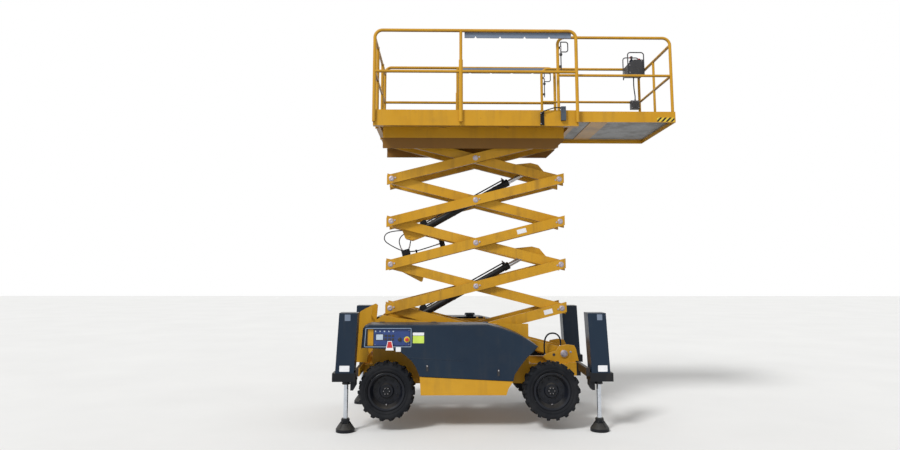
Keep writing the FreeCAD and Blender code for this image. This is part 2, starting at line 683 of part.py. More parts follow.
def side_clips():
    """Cable clip and socket on the near side of the platform's channel."""
    y0, y1 = deck_half + 12 + seat, deck_half + 42
    x, z = pivot_x - 305, floor_z - 95
    clip = cut(box(x, x + 48, y0, y1, z, z + 160), [box(x + 9, x + 49, y0 + 6, y1 + 1, z + 12, z + 148)])
    socket = cut(box(x + 255, x + 315, y0, y1 + 14, z + 56, z + 232),
                 [box(x + 267, x + 303, y1 + 8, y1 + 15, z + 150, z + 214)])
    return [flip(clip), flip(socket)]


def gate():
    x = deck_x[0] + 12
    g = gate_half
    z0, z1 = floor_z + 60, rail_z - 100
    parts = [bent_tube([(x, 0, z0), (x, g - 20, z0), (x, g - 20, z1), (x, -g + 20, z1), (x, -g + 20, z0),
                        (x, 1, z0)], 17, 50),
             rod((x, -g + 20, mid_z), (x, g - 20, mid_z), 15)]
    parts += [rod((x, -g - 1, z), (x, -g - 1, z + 50), 11) for z in gate_hinges]
    parts.append(box(x - 6, x + 6, g - 10, g + 36 - rail_r - seat, mid_z + 60, mid_z + 90))
    return cut(fuse(parts), [rod((x, -g - 1, z - 1), (x, -g - 1, z + 51), 5 + bore_gap) for z in gate_hinges])


def extension_deck():
    """Frame of the extension: side and front boards, runners and a cross plate."""
    x0, x1 = ext_x
    z = floor_z + ext_lift
    under = (floor_z + seat, z - 6 - seat)
    parts = both(box(x0, x1 - 1, ext_half - 60, ext_half + 1, *under))
    parts += both(box(x0, x1, ext_half - 1, ext_half + 8, z - 54, toe_top))
    parts.append(box(x1 - 10, x1, -ext_half, ext_half, z - 54, toe_top))
    parts.append(box(x0 + 430, x0 + 650, 59 - ext_half, ext_half - 59, *under))
    wells = [rod((ext_front_x, y, z), (ext_front_x, y, toe_top + 5), r + seat) for y, r in
             ((ext_rail_y - 24, rail_r - 2), (24 - ext_rail_y, rail_r - 2), (0, rail_r - 4))]
    return cut(fuse(parts), wells)


def extension_floor():
    y, z = ext_half - 1 - seat, floor_z + ext_lift
    return box(ext_x[0], ext_x[1] - 10 - seat, -y, y, z - 6, z)


def extension_rails():
    x0, x1 = ext_post_x, ext_front_x
    y = ext_rail_y - 24
    foot_z = floor_z + ext_lift
    parts = []
    side = bent_tube([(x0, y, foot_z), (x0, y, ext_rail_z), (x1, y, ext_rail_z), (x1, y, foot_z)],
                     rail_r - 2, bend_r)
    mid = rod((x0, y, mid_z - 10), (x1, y, mid_z - 10), rail_r - 4)
    parts += both(fuse([side, mid]))
    parts.append(rod((x1, -y, ext_rail_z - 96), (x1, y, ext_rail_z - 96), rail_r - 2))
    parts.append(rod((x1, -y, mid_z - 10), (x1, y, mid_z - 10), rail_r - 4))
    parts.append(rod((x1, 0, foot_z), (x1, 0, ext_rail_z - 90), rail_r - 4))
    return fuse(parts)


def lock_handles():
    x = ext_post_x + 42
    y = ext_rail_y - 24
    stem = rod((x, y, mid_z + 60), (x, y, ext_rail_z - 60), 7)
    hook = bent_tube([(x, y, ext_rail_z - 60), (x + 90, y, ext_rail_z - 60), (x + 90, y, ext_rail_z - 190),
                      (x, y, ext_rail_z - 190)], 7, 30)
    clip = [box(x - 42 + rail_r - 2 + seat, x + 8, y - 8, y + 8, z, z + 30)
            for z in (mid_z + 90, ext_rail_z - 150)]
    return both(fuse([stem, hook] + clip))


def control_box():
    x1 = ext_front_x - rail_r + 2 - seat + 2
    x0, stick_x = x1 - control_len, x1 - control_len + 80
    (y0, y1), (z0, z1) = control_y, control_z
    stick_y = (y0 + y1) / 2
    parts = [prism([(x0, z0), (x1, z0), (x1, z1), (stick_x, z1), (x0, z1 - 60)], y0, y1)]
    parts.append(rod((stick_x, stick_y, z1 - 10), (stick_x, stick_y, z1 + 50), 9))
    parts.append(rod((stick_x, stick_y, z1 + 45), (stick_x, stick_y, z1 + 80), 16))
    rail = rod((ext_front_x, y0 - 30, ext_rail_z - 96), (ext_front_x, y1 + 40, ext_rail_z - 96),
               rail_r - 2 + 0.2)
    return cut(fuse(parts), [rail])


def control_guard():
    x1 = ext_front_x - rail_r + 2 - seat + 2
    x0, x1 = x1 - control_len - 10, x1 - 10
    y0, y1 = control_y[0] - 8 - seat, control_y[1] + 8 + seat
    z0, z1 = control_z[0] - 28, control_z[1] + 100
    loops = [bent_tube([(x0, y, z0), (x0, y, z1), (x1, y, z1), (x1, y, z0)], 8, 40) for y in (y0, y1)]
    tie_z = control_z[0] - 6 - seat
    ties = [rod((x, y0, tie_z), (x, y1, tie_z), 6) for x in (x0, x1)]
    return fuse(loops + ties)


def socket_box():
    y1 = ext_rail_y - 24 - (rail_r - 4) - seat
    return box(ext_front_x - 152, ext_front_x - 32, y1 - 80, y1, mid_z - 130, mid_z - 4)


# routes of the third stage's hoses on its outer arm: along from the left pin and off across
hose_outer = [(700, 128), (465, 110), (300, 107), (162, 147), (40, 262), (-70, 372), (-4, 440), (110, 452),
              (300, 412), (560, 262), (724, 150)]
hose_inner = [(700, 128), (465, 110), (300, 107), (172, 140)]
hose_loop = [(160, 150), (128, 258), (168, 340), (246, 388), (322, 324), (262, 232), (240, 150)]


def hose(route, y, r):
    spots = [on_outer(3, dist, off) for dist, off in route]
    return bent_tube([(x, y, z) for x, z in spots], r, hose_bend)


def hoses():
    return [hose(route, y, hose_r) for route, y in zip((hose_inner, hose_outer, hose_loop), hose_y)]


def hose_fittings():
    """Clamps and a junction block on the far outer arm; the hoses pass through or end in them."""
    y0, y1 = outer_y[1] + seat, hose_y[2] + 14

    def bracket(d0, d1, low, high, reach):
        web = prism([on_outer(3, d, o) for d, o in ((d0, 20), (d1, 20), (d1, high), (d0, high))], y0, y0 + 8)
        head = prism([on_outer(3, d, o) for d, o in ((d0, low), (d1, low), (d1, high), (d0, high))], y0, reach)
        return fuse([web, head])

    pieces = [bracket(676, 746, 104, 178, hose_y[1] + 14), bracket(330, 354, 92, 124, hose_y[1] + 14),
              bracket(142, 256, 94, 162, y1)]
    passing = [hose(route, y, hose_r + seat) for route, y in zip((hose_inner, hose_outer, hose_loop), hose_y)]
    return [cut(piece, passing) for piece in pieces]


def hose_ring():
    """Hose loop that stands up from behind the near lug plate, held at both ends."""
    x0, x1, top = pivot_x - 230, pivot_x - 38, pivot_z + 236
    loop = bent_tube([(x0, ring_y, pivot_z - 40), (x0, ring_y, top), (x1, ring_y, top),
                      (x1, ring_y, pivot_z + 64)],
                     ring_r, 84)
    clamps = [box(x - 14, x + 14, -336 + seat, -313, z, z + 22)
              for x, z in ((x0, pivot_z - 40), (x1, pivot_z + 64))]
    return fuse([loop] + clamps)


os.makedirs("parts", exist_ok=True)
save("chassis_frame", chassis_frame())
save("axle_beams", axles())
save("side_boxes", side_boxes())
save("inner_panels", inner_panels())
save("engine_block", engine())
save("rear_ladder", ladder())
save("outrigger_bases", outrigger_bases())
save("outrigger_covers", outrigger_covers())
rubber, disc = tyre(), rim()
for side, label in ((-1, "near"), (1, "far")):
    save("hood_" + label, hood(side))
    save("knuckle_" + label, knuckle(side))
    for end, x in wheel_x.items():
        save("tyre_%s_%s" % (end, label), placed(rubber, x, side))
        save("rim_%s_%s" % (end, label), placed(disc, x, side))
    for end, x in leg_x.items():
        save("leg_%s_%s" % (end, label), leg(x, side))
        save("foot_%s_%s" % (end, label), foot(x, side))
save("ground_panel", ground_panel())
for k in range(1, stages + 1):
    save("inner_arms_%d" % k, inner_pair(k))
    save("outer_arms_%d" % k, outer_pair(k))
for label, k in (("lower", 1), ("upper", 3)):
    barrel, piston = cylinder(k)
    save("barrel_" + label, barrel)
    save("rod_" + label, piston)
save("platform_deck", platform_deck())
save("main_rails", main_rails())
save("slide_bars", slide_bars())
save("side_clips", side_clips())
save("gate", gate())
save("extension_deck", extension_deck())
save("extension_floor", extension_floor())
save("extension_rails", extension_rails())
save("lock_handles", lock_handles())
save("control_box", control_box())
save("control_guard", control_guard())
save("socket_box", socket_box())
save("hoses", hoses())
save("hose_fittings", hose_fittings())
save("hose_ring", hose_ring())
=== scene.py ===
import math

import bmesh
import bpy
from mathutils import Matrix, Vector


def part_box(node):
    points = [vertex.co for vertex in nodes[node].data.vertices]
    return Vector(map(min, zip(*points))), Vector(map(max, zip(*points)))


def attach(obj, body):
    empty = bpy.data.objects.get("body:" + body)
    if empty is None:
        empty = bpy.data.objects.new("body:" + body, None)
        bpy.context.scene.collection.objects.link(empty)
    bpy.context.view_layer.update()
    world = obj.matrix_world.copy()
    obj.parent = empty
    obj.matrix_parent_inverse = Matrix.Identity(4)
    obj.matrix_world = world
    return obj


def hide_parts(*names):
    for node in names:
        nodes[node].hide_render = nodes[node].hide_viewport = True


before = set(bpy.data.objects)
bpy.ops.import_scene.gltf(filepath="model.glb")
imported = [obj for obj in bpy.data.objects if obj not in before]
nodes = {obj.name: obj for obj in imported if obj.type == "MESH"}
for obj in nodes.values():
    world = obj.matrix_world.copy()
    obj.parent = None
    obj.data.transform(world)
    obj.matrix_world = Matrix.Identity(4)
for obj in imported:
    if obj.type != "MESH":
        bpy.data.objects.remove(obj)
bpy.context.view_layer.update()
print("frame loaded:", len(nodes), "nodes")

bpy.context.scene.view_settings.view_transform = "Standard"


# ---- camera ----

cameraSetup = {
    "place": (-0.866, -8.886, 1.850),
    "upDeg": 7.54,
    "turnDeg": 0.88,
    "rollDeg": -0.05,
    "lens": 26.68,        # on a 36 mm sensor, 900 pixels wide
    "shiftY": -0.0479,
}


def makeCamera(setup):
    data = bpy.data.cameras.new("photoCamera")
    data.sensor_width = 36
    data.lens = setup["lens"]
    data.shift_y = setup["shiftY"]
    data.clip_end = 200
    camera = bpy.data.objects.new("photoCamera", data)
    bpy.context.collection.objects.link(camera)
    camera.location = setup["place"]
    camera.rotation_mode = "XYZ"
    camera.rotation_euler = (
        math.radians(90 + setup["upDeg"]), math.radians(setup["rollDeg"]), -math.radians(setup["turnDeg"]))
    bpy.context.scene.camera = camera


makeCamera(cameraSetup)


# ---- finishes ----

class Sum:               # a shader socket that takes part in plain sums
    def __init__(self, finish, socket):
        self.finish = finish
        self.socket = socket

    def math(self, operation, first, second=0.0):
        return self.finish.node("ShaderNodeMath", {"operation": operation}, {0: first, 1: second})

    def __add__(self, other):
        return self.math("ADD", self, other)

    def __radd__(self, other):
        return self.math("ADD", other, self)

    def __sub__(self, other):
        return self.math("SUBTRACT", self, other)

    def __rsub__(self, other):
        return self.math("SUBTRACT", other, self)

    def __mul__(self, other):
        return self.math("MULTIPLY", self, other)

    def __rmul__(self, other):
        return self.math("MULTIPLY", other, self)

    def over(self, edge):
        return self.math("GREATER_THAN", self, edge)

    def under(self, edge):
        return self.math("LESS_THAN", self, edge)

    def within(self, low, high):
        return self.over(low) * self.under(high)

    def wave(self):
        return self.math("SINE", self)


class Finish:            # one material and the nodes in it
    def __init__(self, name):
        self.material = bpy.data.materials.new(name)
        self.material.use_nodes = True
        self.tree = self.material.node_tree
        self.tree.nodes.clear()
        self.shader = self.tree.nodes.new("ShaderNodeBsdfPrincipled")
        self.output = self.tree.nodes.new("ShaderNodeOutputMaterial")
        self.tree.links.new(self.shader.outputs[0], self.output.inputs[0])
        self.place = self.node("ShaderNodeTexCoord", {}, {}, "Object")

    def node(self, kind, settings, sockets, out=0):
        made = self.tree.nodes.new(kind)
        for key, value in settings.items():
            if key == "stops":
                self.setStops(made.color_ramp, value)
            else:
                setattr(made, key, value)
        for key, value in sockets.items():
            self.plug(made.inputs[key], value)
        return Sum(self, made.outputs[out])

    def setStops(self, ramp, stops):
        while len(ramp.elements) < len(stops):
            ramp.elements.new(0.5)
        for element, (at, value) in zip(ramp.elements, stops):
            element.position = at
            element.color = (value, value, value, 1) if isinstance(value, (int, float)) else (*value, 1)

    def plug(self, socket, value):
        if isinstance(value, Sum):
            self.tree.links.new(value.socket, socket)
        elif isinstance(value, tuple) and len(value) == 3 and socket.type == "RGBA":
            socket.default_value = (*value, 1)
        else:
            socket.default_value = value

    def axes(self):
        return [self.node("ShaderNodeSeparateXYZ", {}, {0: self.place}, axis) for axis in "XYZ"]

    def mapped(self, scale, turn=(0, 0, 0)):
        return self.node("ShaderNodeMapping", {}, {"Vector": self.place, "Scale": scale, "Rotation": turn})

    def noise(self, scale, detail=4, rough=0.55, where=None):
        where = where or self.place
        return self.node("ShaderNodeTexNoise", {}, {"Vector": where, "Scale": scale, "Detail": detail,
                                                    "Roughness": rough})

    def ramp(self, value, *stops):
        return self.node("ShaderNodeValToRGB", {"stops": stops}, {0: value})

    def blendColour(self, amount, first, second, way="MIX"):
        return self.node("ShaderNodeMix", {"data_type": "RGBA", "blend_type": way},
                         {0: amount, 6: first, 7: second}, 2)

    def upward(self):    # 1 on faces that look up, 0 on the rest
        normal = self.node("ShaderNodeNewGeometry", {}, {}, "Normal")
        height = self.node("ShaderNodeSeparateXYZ", {}, {0: normal}, "Z")
        return self.ramp(height, (0.35, 0.0), (0.95, 1.0))

    def downward(self):
        # 1 on faces that look down, 0 on the rest: the mask of the painted shade on undersides
        normal = self.node("ShaderNodeNewGeometry", {}, {}, "Normal")
        height = self.node("ShaderNodeSeparateXYZ", {}, {0: normal}, "Z")
        return self.ramp(height * -1.0, (0.25, 0.0), (0.80, 1.0))

    def bump(self, height, strength, distance):
        normal = self.node("ShaderNodeBump", {}, {"Height": height, "Strength": strength, "Distance": distance},
                           "Normal")
        self.set(Normal=normal)

    def set(self, **sockets):
        names = {"BaseColor": "Base Color", "CoatWeight": "Coat Weight", "CoatRoughness": "Coat Roughness",
                 "Specular": "Specular IOR Level"}
        for key, value in sockets.items():
            self.plug(self.shader.inputs[names.get(key, key)], value)


# the last tone of each paint is the colour of the dirt streaks and blotches, and also of the painted shade on faces
# that look down
paints = {
    "yellow": {"colour": (0.50, 0.250, 0.012), "faded": (0.57, 0.315, 0.030), "grimeAndShade": (0.13, 0.07, 0.025)},
    "slate": {"colour": (0.0065, 0.0165, 0.034), "faded": (0.012, 0.027, 0.049), "grimeAndShade": (0.040, 0.040, 0.040)},
    "black": {"colour": (0.0045, 0.0055, 0.008), "faded": (0.012, 0.014, 0.017), "grimeAndShade": (0.040, 0.034, 0.028)},
    "rim": {"colour": (0.005, 0.006, 0.010), "faded": (0.015, 0.018, 0.025), "grimeAndShade": (0.022, 0.021, 0.020)},
    "grey": {"colour": (0.15, 0.155, 0.16), "faded": (0.23, 0.235, 0.24), "grimeAndShade": (0.10, 0.085, 0.07)},
    "bar": {"colour": (0.14, 0.18, 0.25), "faded": (0.23, 0.27, 0.34), "grimeAndShade": (0.09, 0.08, 0.07)},
}


def hazardBand(f, base):                 # slanting black stripes on the extension's near board, by its front end
    x, y, z = f.axes()
    band = x.within(1.862, 2.083) * z.within(3.703, 3.757) * y.under(-0.712)
    slant = ((x - z) * 105.0).wave().over(0.0)
    base = f.blendColour(band, base, (0.66, 0.48, 0.05))
    return f.blendColour(band * slant, base, (0.012, 0.012, 0.014))


def blackBeams(f, base):                 # the cross beams that carry the jack legs
    x, y, z = f.axes()
    ends = x.over(0.832) * z.under(0.73) + x.under(-1.800) * z.under(0.73)
    return f.blendColour(f.node("ShaderNodeClamp", {}, {0: ends}), base, (0.011, 0.013, 0.017))


def deckMarks(f, base):                  # grey floor sheet on top, and painted shade on the sides of the roller channels under the deck
    x, y, z = f.axes()
    # painted shade: below z 3.555 the yellow is darkened to dark brown
    base = f.blendColour(z.under(3.555) * 0.8, base, (0.115, 0.050, 0.016))
    floor = f.upward() * z.within(3.7292, 3.7370)
    return f.blendColour(f.ramp(floor, (0.0, 0.0), (0.5, 1.0)), base, (0.13, 0.135, 0.14))


def clipMarks(f, base):                  # the socket's grey holder beside the black clip
    x, y, z = f.axes()
    return f.blendColour(x.over(0.60), base, (0.065, 0.080, 0.105))


def paintedSteel(name, tones, dirt=0.5, rough=0.38, chips=0.5, marking=None):
    f = Finish(name)
    cloud = f.ramp(f.noise(1.7, 5), (0.35, 0.0), (0.72, 1.0))
    base = f.blendColour(cloud * 0.55, tones["colour"], tones["faded"])
    if marking:
        base = marking(f, base)
    streak = f.ramp(f.noise(1.0, 6, 0.6, f.mapped((9, 9, 0.9))), (0.52, 0.0), (0.74, 1.0))
    blotch = f.ramp(f.noise(4.5, 6, 0.65), (0.50, 0.0), (0.80, 1.0))
    soil = (streak * 0.45 + blotch * 0.35) * dirt
    base = f.blendColour(soil, base, tones["grimeAndShade"])
    dust = f.upward() * f.ramp(f.noise(7, 5), (0.3, 0.2), (0.7, 0.9)) * 0.35 * dirt
    base = f.blendColour(dust, base, (0.36, 0.32, 0.25))
    # painted shade: faces that look down are darkened towards the dirt tone, in noisy patches
    shade = f.downward() * f.ramp(f.noise(5, 5), (0.3, 0.45), (0.7, 0.85))
    base = f.blendColour(shade, base, tones["grimeAndShade"])
    patch = f.ramp(f.noise(3.1, 3), (0.52, 0.0), (0.66, 1.0))
    chip = f.ramp(f.noise(46, 3, 0.5), (0.70, 0.0), (0.72, 1.0)) * patch * chips
    base = f.blendColour(chip, base, (0.10, 0.055, 0.03))
    f.set(BaseColor=base, Roughness=soil * 0.35 + dust * 0.5 + chip * 0.3 + rough, Specular=0.22)
    f.bump(f.noise(190, 2) * 0.5 + chip * -1.0, 0.10, 0.002)
    return f.material


def gripDeck(name, tones):               # sheet with rows of raised drops
    f = Finish(name)
    x, y, z = f.axes()
    drop = f.ramp((x * 150.0 + y * 150.0).wave() * (x * 150.0 - y * 150.0).wave(), (0.55, 0.0), (0.75, 1.0))
    worn = f.ramp(f.noise(3.0, 6, 0.6), (0.45, 0.0), (0.70, 1.0))
    base = f.blendColour(worn * 0.7, tones["colour"], tones["grimeAndShade"])
    base = f.blendColour(drop * 0.4, base, tones["faded"])
    f.set(BaseColor=base, Roughness=worn * 0.25 + 0.45, Metallic=0.35)
    f.bump(drop, 0.6, 0.002)
    return f.material


def rubber(name, dusty=0.6):
    f = Finish(name)
    film = f.ramp(f.noise(6, 6, 0.65), (0.40, 0.0), (0.75, 1.0))
    base = f.blendColour(film * dusty, (0.0045, 0.0055, 0.008), (0.026, 0.026, 0.028))
    f.set(BaseColor=base, Roughness=film * 0.12 + 0.70, Specular=0.18)
    f.bump(f.noise(120, 4), 0.22, 0.002)
    return f.material


def brightMetal(name, colour, dull, rough=0.14):
    f = Finish(name)
    wear = f.ramp(f.noise(2.0, 5, 0.6, f.mapped((6, 6, 20))), (0.4, 0.0), (0.8, 1.0))
    base = f.blendColour(wear * 0.5, colour, dull)
    f.set(BaseColor=base, Metallic=0.9, Roughness=wear * 0.2 + rough)
    f.bump(f.noise(240, 2), 0.05, 0.001)
    return f.material


def mouldedPlastic(name, colour, rough=0.42):
    f = Finish(name)
    cloud = f.ramp(f.noise(9, 5), (0.35, 0.0), (0.75, 1.0))
    lighter = tuple(min(1, c * 1.5 + 0.015) for c in colour)
    base = f.blendColour(cloud * 0.4, colour, lighter)
    f.set(BaseColor=base, Roughness=cloud * 0.15 + rough)
    f.bump(f.noise(420, 2), 0.15, 0.001)
    return f.material


finishes = {
    "yellow": paintedSteel("yellowPaint", paints["yellow"], 0.5, 0.36),
    "yellowArm": paintedSteel("yellowArmPaint", paints["yellow"], 0.9, 0.42, 0.9),
    "yellowChassis": paintedSteel("yellowChassisPaint", paints["yellow"], 0.7, 0.4, 0.6, blackBeams),
    "yellowBoard": paintedSteel("yellowBoardPaint", paints["yellow"], 0.5, 0.36, 0.5, hazardBand),
    "yellowDeck": paintedSteel("yellowDeckPaint", paints["yellow"], 0.5, 0.36, 0.5, deckMarks),
    "clips": paintedSteel("clipPaint", paints["black"], 0.4, 0.45, 0.2, clipMarks),
    "slate": paintedSteel("slatePaint", paints["slate"], 0.55, 0.32, 0.3),
    "black": paintedSteel("blackPaint", paints["black"], 0.7, 0.45, 0.3),
    "rim": paintedSteel("rimPaint", paints["rim"], 0.5, 0.28, 0.2),
    "grey": paintedSteel("greyPaint", paints["grey"], 0.7, 0.5, 0.3),
    "bar": paintedSteel("barPaint", paints["bar"], 0.4, 0.4, 0.2),
    "grip": gripDeck("gripSheet", paints["grey"]),
    "rubber": rubber("tyreRubber"),
    "hose": rubber("hoseRubber", 0.25),
    "chrome": brightMetal("chromedRod", (0.62, 0.66, 0.72), (0.36, 0.38, 0.42)),
    "zinc": brightMetal("zincSteel", (0.50, 0.48, 0.50), (0.28, 0.26, 0.27), 0.34),
    "pin": brightMetal("pinSteel", (0.42, 0.38, 0.42), (0.26, 0.23, 0.25), 0.42),
    "trim": mouldedPlastic("paleSeal", (0.20, 0.27, 0.38), 0.45),
    "plastic": mouldedPlastic("blackPlastic", (0.018, 0.018, 0.021)),
    "blue": mouldedPlastic("bluePlastic", (0.012, 0.038, 0.16), 0.38),
    "white": mouldedPlastic("whiteFilm", (0.66, 0.67, 0.70), 0.4),
    "lime": mouldedPlastic("limeFilm", (0.47, 0.62, 0.08), 0.4),
    "red": mouldedPlastic("redPlastic", (0.44, 0.018, 0.016), 0.32),
    "signal": mouldedPlastic("signalYellow", (0.72, 0.55, 0.02), 0.34),
    "lens": mouldedPlastic("paleLens", (0.42, 0.50, 0.60), 0.2),
}

wearing = {
    "yellow": ("side_boxes", "inner_panels", "rear_ladder", "main_rails", "gate",
               "extension_rails"),
    "yellowArm": tuple(f"{kind}_arms_{k}" for kind in ("inner", "outer") for k in range(1, 6)),
    "yellowChassis": ("chassis_frame",),
    "yellowBoard": ("extension_deck",),
    "yellowDeck": ("platform_deck",),
    "clips": ("side_clips",),
    "slate": ("hood_near", "hood_far", "outrigger_covers"),
    "black": ("axle_beams", "outrigger_bases", "knuckle_near", "knuckle_far", "barrel_lower", "barrel_upper",
              "hose_fittings")
             + tuple(f"{part}_{end}_{side}" for part in ("foot",) for end in ("rear", "front")
                     for side in ("near", "far")),
    "rim": tuple(f"rim_{end}_{side}" for end in ("rear", "front") for side in ("near", "far")),
    "grey": ("engine_block",),
    "grip": ("extension_floor",),
    "bar": ("slide_bars",),
    "rubber": tuple(f"tyre_{end}_{side}" for end in ("rear", "front") for side in ("near", "far")),
    "hose": ("hoses", "hose_ring"),
    "chrome": ("rod_lower", "rod_upper") + tuple(f"leg_{end}_{side}" for end in ("rear", "front")
                                                 for side in ("near", "far")),
    "plastic": ("control_box", "socket_box", "ground_panel", "control_guard", "lock_handles"),
}


def dressNodes():
    for key, names in wearing.items():
        for name in names:
            mesh = nodes[name].data
            mesh.materials.clear()
            mesh.materials.append(finishes[key])


dressNodes()
print("finishes on", sum(len(names) for names in wearing.values()), "nodes")


# ---- ways of making pieces ----

def begin():             # object mode with nothing selected
    if bpy.context.object and bpy.context.object.mode != "OBJECT":
        bpy.ops.object.mode_set(mode="OBJECT")
    bpy.ops.object.select_all(action="DESELECT")


def settle(piece, name, finish=None):    # the piece's place goes into its mesh
    piece.name = name
    piece.data.name = name
    if finish:
        piece.data.materials.append(finishes[finish])
    bpy.ops.object.transform_apply(location=True, rotation=True, scale=True)
    return piece


def editing(piece, mode="FACE"):
    begin()
    bpy.context.view_layer.objects.active = piece
    piece.select_set(True)
    bpy.ops.object.mode_set(mode="EDIT")
    bpy.ops.mesh.select_mode(type=mode)
    bpy.ops.mesh.select_all(action="DESELECT")


def pick(piece, kind, test):             # selects the vertices, edges or faces that pass the test
    mesh = bmesh.from_edit_mesh(piece.data)
    for item in getattr(mesh, kind):
        item.select_set(bool(test(item)))
    mesh.select_flush_mode()
    bmesh.update_edit_mesh(piece.data)


def tidied(piece, smooth=35):            # outward normals, smooth shading up to an angle
    editing(piece)
    bpy.ops.mesh.select_all(action="SELECT")
    bpy.ops.mesh.remove_doubles(threshold=0.00001)
    bpy.ops.mesh.normals_make_consistent(inside=False)
    bpy.ops.object.mode_set(mode="OBJECT")
    bpy.ops.object.shade_smooth_by_angle(angle=math.radians(smooth))
    return piece


def rounded(piece, width, segments=2):
    begin()
    bpy.context.view_layer.objects.active = piece
    piece.select_set(True)
    bevel = piece.modifiers.new("rounding", "BEVEL")
    bevel.width = width
    bevel.segments = segments
    bevel.limit_method = "ANGLE"
    bevel.angle_limit = math.radians(40)
    bpy.ops.object.modifier_apply(modifier=bevel.name)
    return piece


def block(name, low, high, finish, rounding=0.002, segments=2):
    begin()
    low, high = Vector(low), Vector(high)
    bpy.ops.mesh.primitive_cube_add(size=1, location=(low + high) / 2, scale=high - low)
    piece = settle(bpy.context.object, name, finish)
    if rounding:
        rounded(piece, rounding, segments)
    return piece


# turned form: radius and reach pairs, drawn from start the way that along points
def turned(name, profile, start, along, finish, steps=24, ring=False):
    begin()
    bpy.ops.mesh.primitive_circle_add(vertices=steps, radius=profile[0][0], location=(0, 0, profile[0][1]))
    piece = bpy.context.object
    bpy.ops.object.transform_apply(location=True, rotation=True, scale=True)
    editing(piece, "EDGE")
    bpy.ops.mesh.select_all(action="SELECT")
    for (r0, h0), (r1, h1) in zip(profile, profile[1:]):
        bpy.ops.mesh.extrude_region_move(TRANSFORM_OT_translate={"value": (0, 0, h1 - h0)})
        bpy.ops.transform.resize(value=(r1 / r0, r1 / r0, 1), center_override=(0, 0, h1))
    if not ring:
        bpy.ops.mesh.select_all(action="SELECT")
        bpy.ops.mesh.fill_holes(sides=0)
    bpy.ops.object.mode_set(mode="OBJECT")
    piece.rotation_euler = Vector(along).to_track_quat("Z", "X").to_euler()
    piece.location = start
    settle(piece, name, finish)
    return tidied(piece)


def plate(name, low, high, finish, corner=0.004):    # thin plate in the XZ plane with rounded corners
    piece = block(name, low, high, finish, 0)
    editing(piece, "EDGE")
    pick(piece, "edges", lambda e: abs((e.verts[0].co - e.verts[1].co).normalized().y) > 0.99)
    bpy.ops.mesh.bevel(offset=corner, segments=3)
    bpy.ops.object.mode_set(mode="OBJECT")
    return rounded(piece, abs(high[1] - low[1]) * 0.3, 1)


def joined(name, pieces):
    begin()
    for piece in pieces:
        piece.select_set(True)
    bpy.context.view_layer.objects.active = pieces[0]
    if len(pieces) > 1:
        bpy.ops.object.join()
    piece = bpy.context.object
    piece.name = name
    piece.data.name = name
    return piece


def repeated(piece, places):             # copies at the places, joined into one; the first one goes
    name, twins = piece.name, []
    for place in places:
        twin = piece.copy()
        twin.data = piece.data.copy()
        twin.matrix_world = place
        bpy.context.collection.objects.link(twin)
        twins.append(twin)
    bpy.data.objects.remove(piece)
    begin()
    for twin in twins:
        twin.select_set(True)
    bpy.context.view_layer.objects.active = twins[0]
    bpy.ops.object.transform_apply(location=True, rotation=True, scale=True)
    return tidied(joined(name, twins))


def moved(*offset):
    return Matrix.Translation(offset)


def onBody(piece, body, slot, *replaced):
    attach(piece, body)
    if replaced:
        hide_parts(*replaced)
    return piece


def centreOf(node):
    low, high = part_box(node)
    return (low + high) / 2


def hexBolt(name, at, along, across, finish="zinc"):     # washer and chamfered head
    r = across / 2
    washer = turned(name, [(r * 1.45, -0.0005), (r * 1.5, r * 0.12), (r * 1.45, r * 0.2)], at, along, finish, 16)
    head = turned(name + "Head", [(r, r * 0.2), (r * 1.15, r * 0.25), (r * 1.15, r * 0.85), (r * 0.98, r * 1.0)], at,
                  along, finish, 6)
    return joined(name, [washer, head])


# ---- lift geometry from the frame's own nodes ----

lift = {"right": 0.688, "foot": 0.820, "arm": 2.250, "restDeg": 14.2, "face": 0.304}
armCos, armSin = math.cos(math.radians(lift["restDeg"])), math.sin(math.radians(lift["restDeg"]))


def onOuterArm(stage, along, off=0.0):   # a place on an outer arm, from its left pin
    left = lift["right"] - lift["arm"] * armCos
    up = lift["foot"] + (stage - 1) * lift["arm"] * armSin
    return left + along * armCos - off * armSin, up + along * armSin + off * armCos


# ---- hoses, and the standing hose loop on the chassis ----

hoseSetup = {
    "diameter": 0.014,
    "inner": {"y": 0.361, "length": 0.532, "route": [(-0.8460, 2.2197), (-1.0694, 2.1446), (-1.2287, 2.1012),
                                                     (-1.3609, 2.1018)]},
    "outer": {"y": 0.377, "length": 1.744, "route": [
        (-0.8460, 2.2197), (-1.0694, 2.1446), (-1.2287, 2.1012), (-1.3723, 2.1061), (-1.5302, 2.1800),
        (-1.6413, 2.2558), (-1.6204, 2.3528), (-1.4975, 2.3891), (-1.3035, 2.3969), (-1.0146, 2.3153),
        (-0.8282, 2.2469)]},
    "loop": {"y": 0.393, "length": 0.557, "route": [
        (-1.3749, 2.1085), (-1.4325, 2.2054), (-1.4201, 2.3006), (-1.3444, 2.3594), (-1.2619, 2.3144),
        (-1.2761, 2.1999), (-1.2974, 2.1282)]},
}
ringSetup = {
    "diameter": 0.020, "y": -0.325, "length": 0.583,
    "route": [(0.4580, 0.7800), (0.4400, 0.9260), (0.4865, 1.0600), (0.6089, 1.0680), (0.6680, 0.9760),
              (0.6500, 0.8840)],
}


def smoothCord(name, points, diameter, finish):
    data = bpy.data.curves.new(name, "CURVE")
    data.dimensions = "3D"
    data.bevel_depth = diameter / 2
    data.bevel_resolution = 5
    data.resolution_u = 12
    data.use_fill_caps = True
    spline = data.splines.new("NURBS")
    spline.points.add(len(points) - 1)
    for spot, point in zip(spline.points, points):
        spot.co = (*point, 1)
    spline.order_u = 3
    spline.use_endpoint_u = True
    data.materials.append(finishes[finish])
    cord = bpy.data.objects.new(name, data)
    bpy.context.collection.objects.link(cord)
    return cord


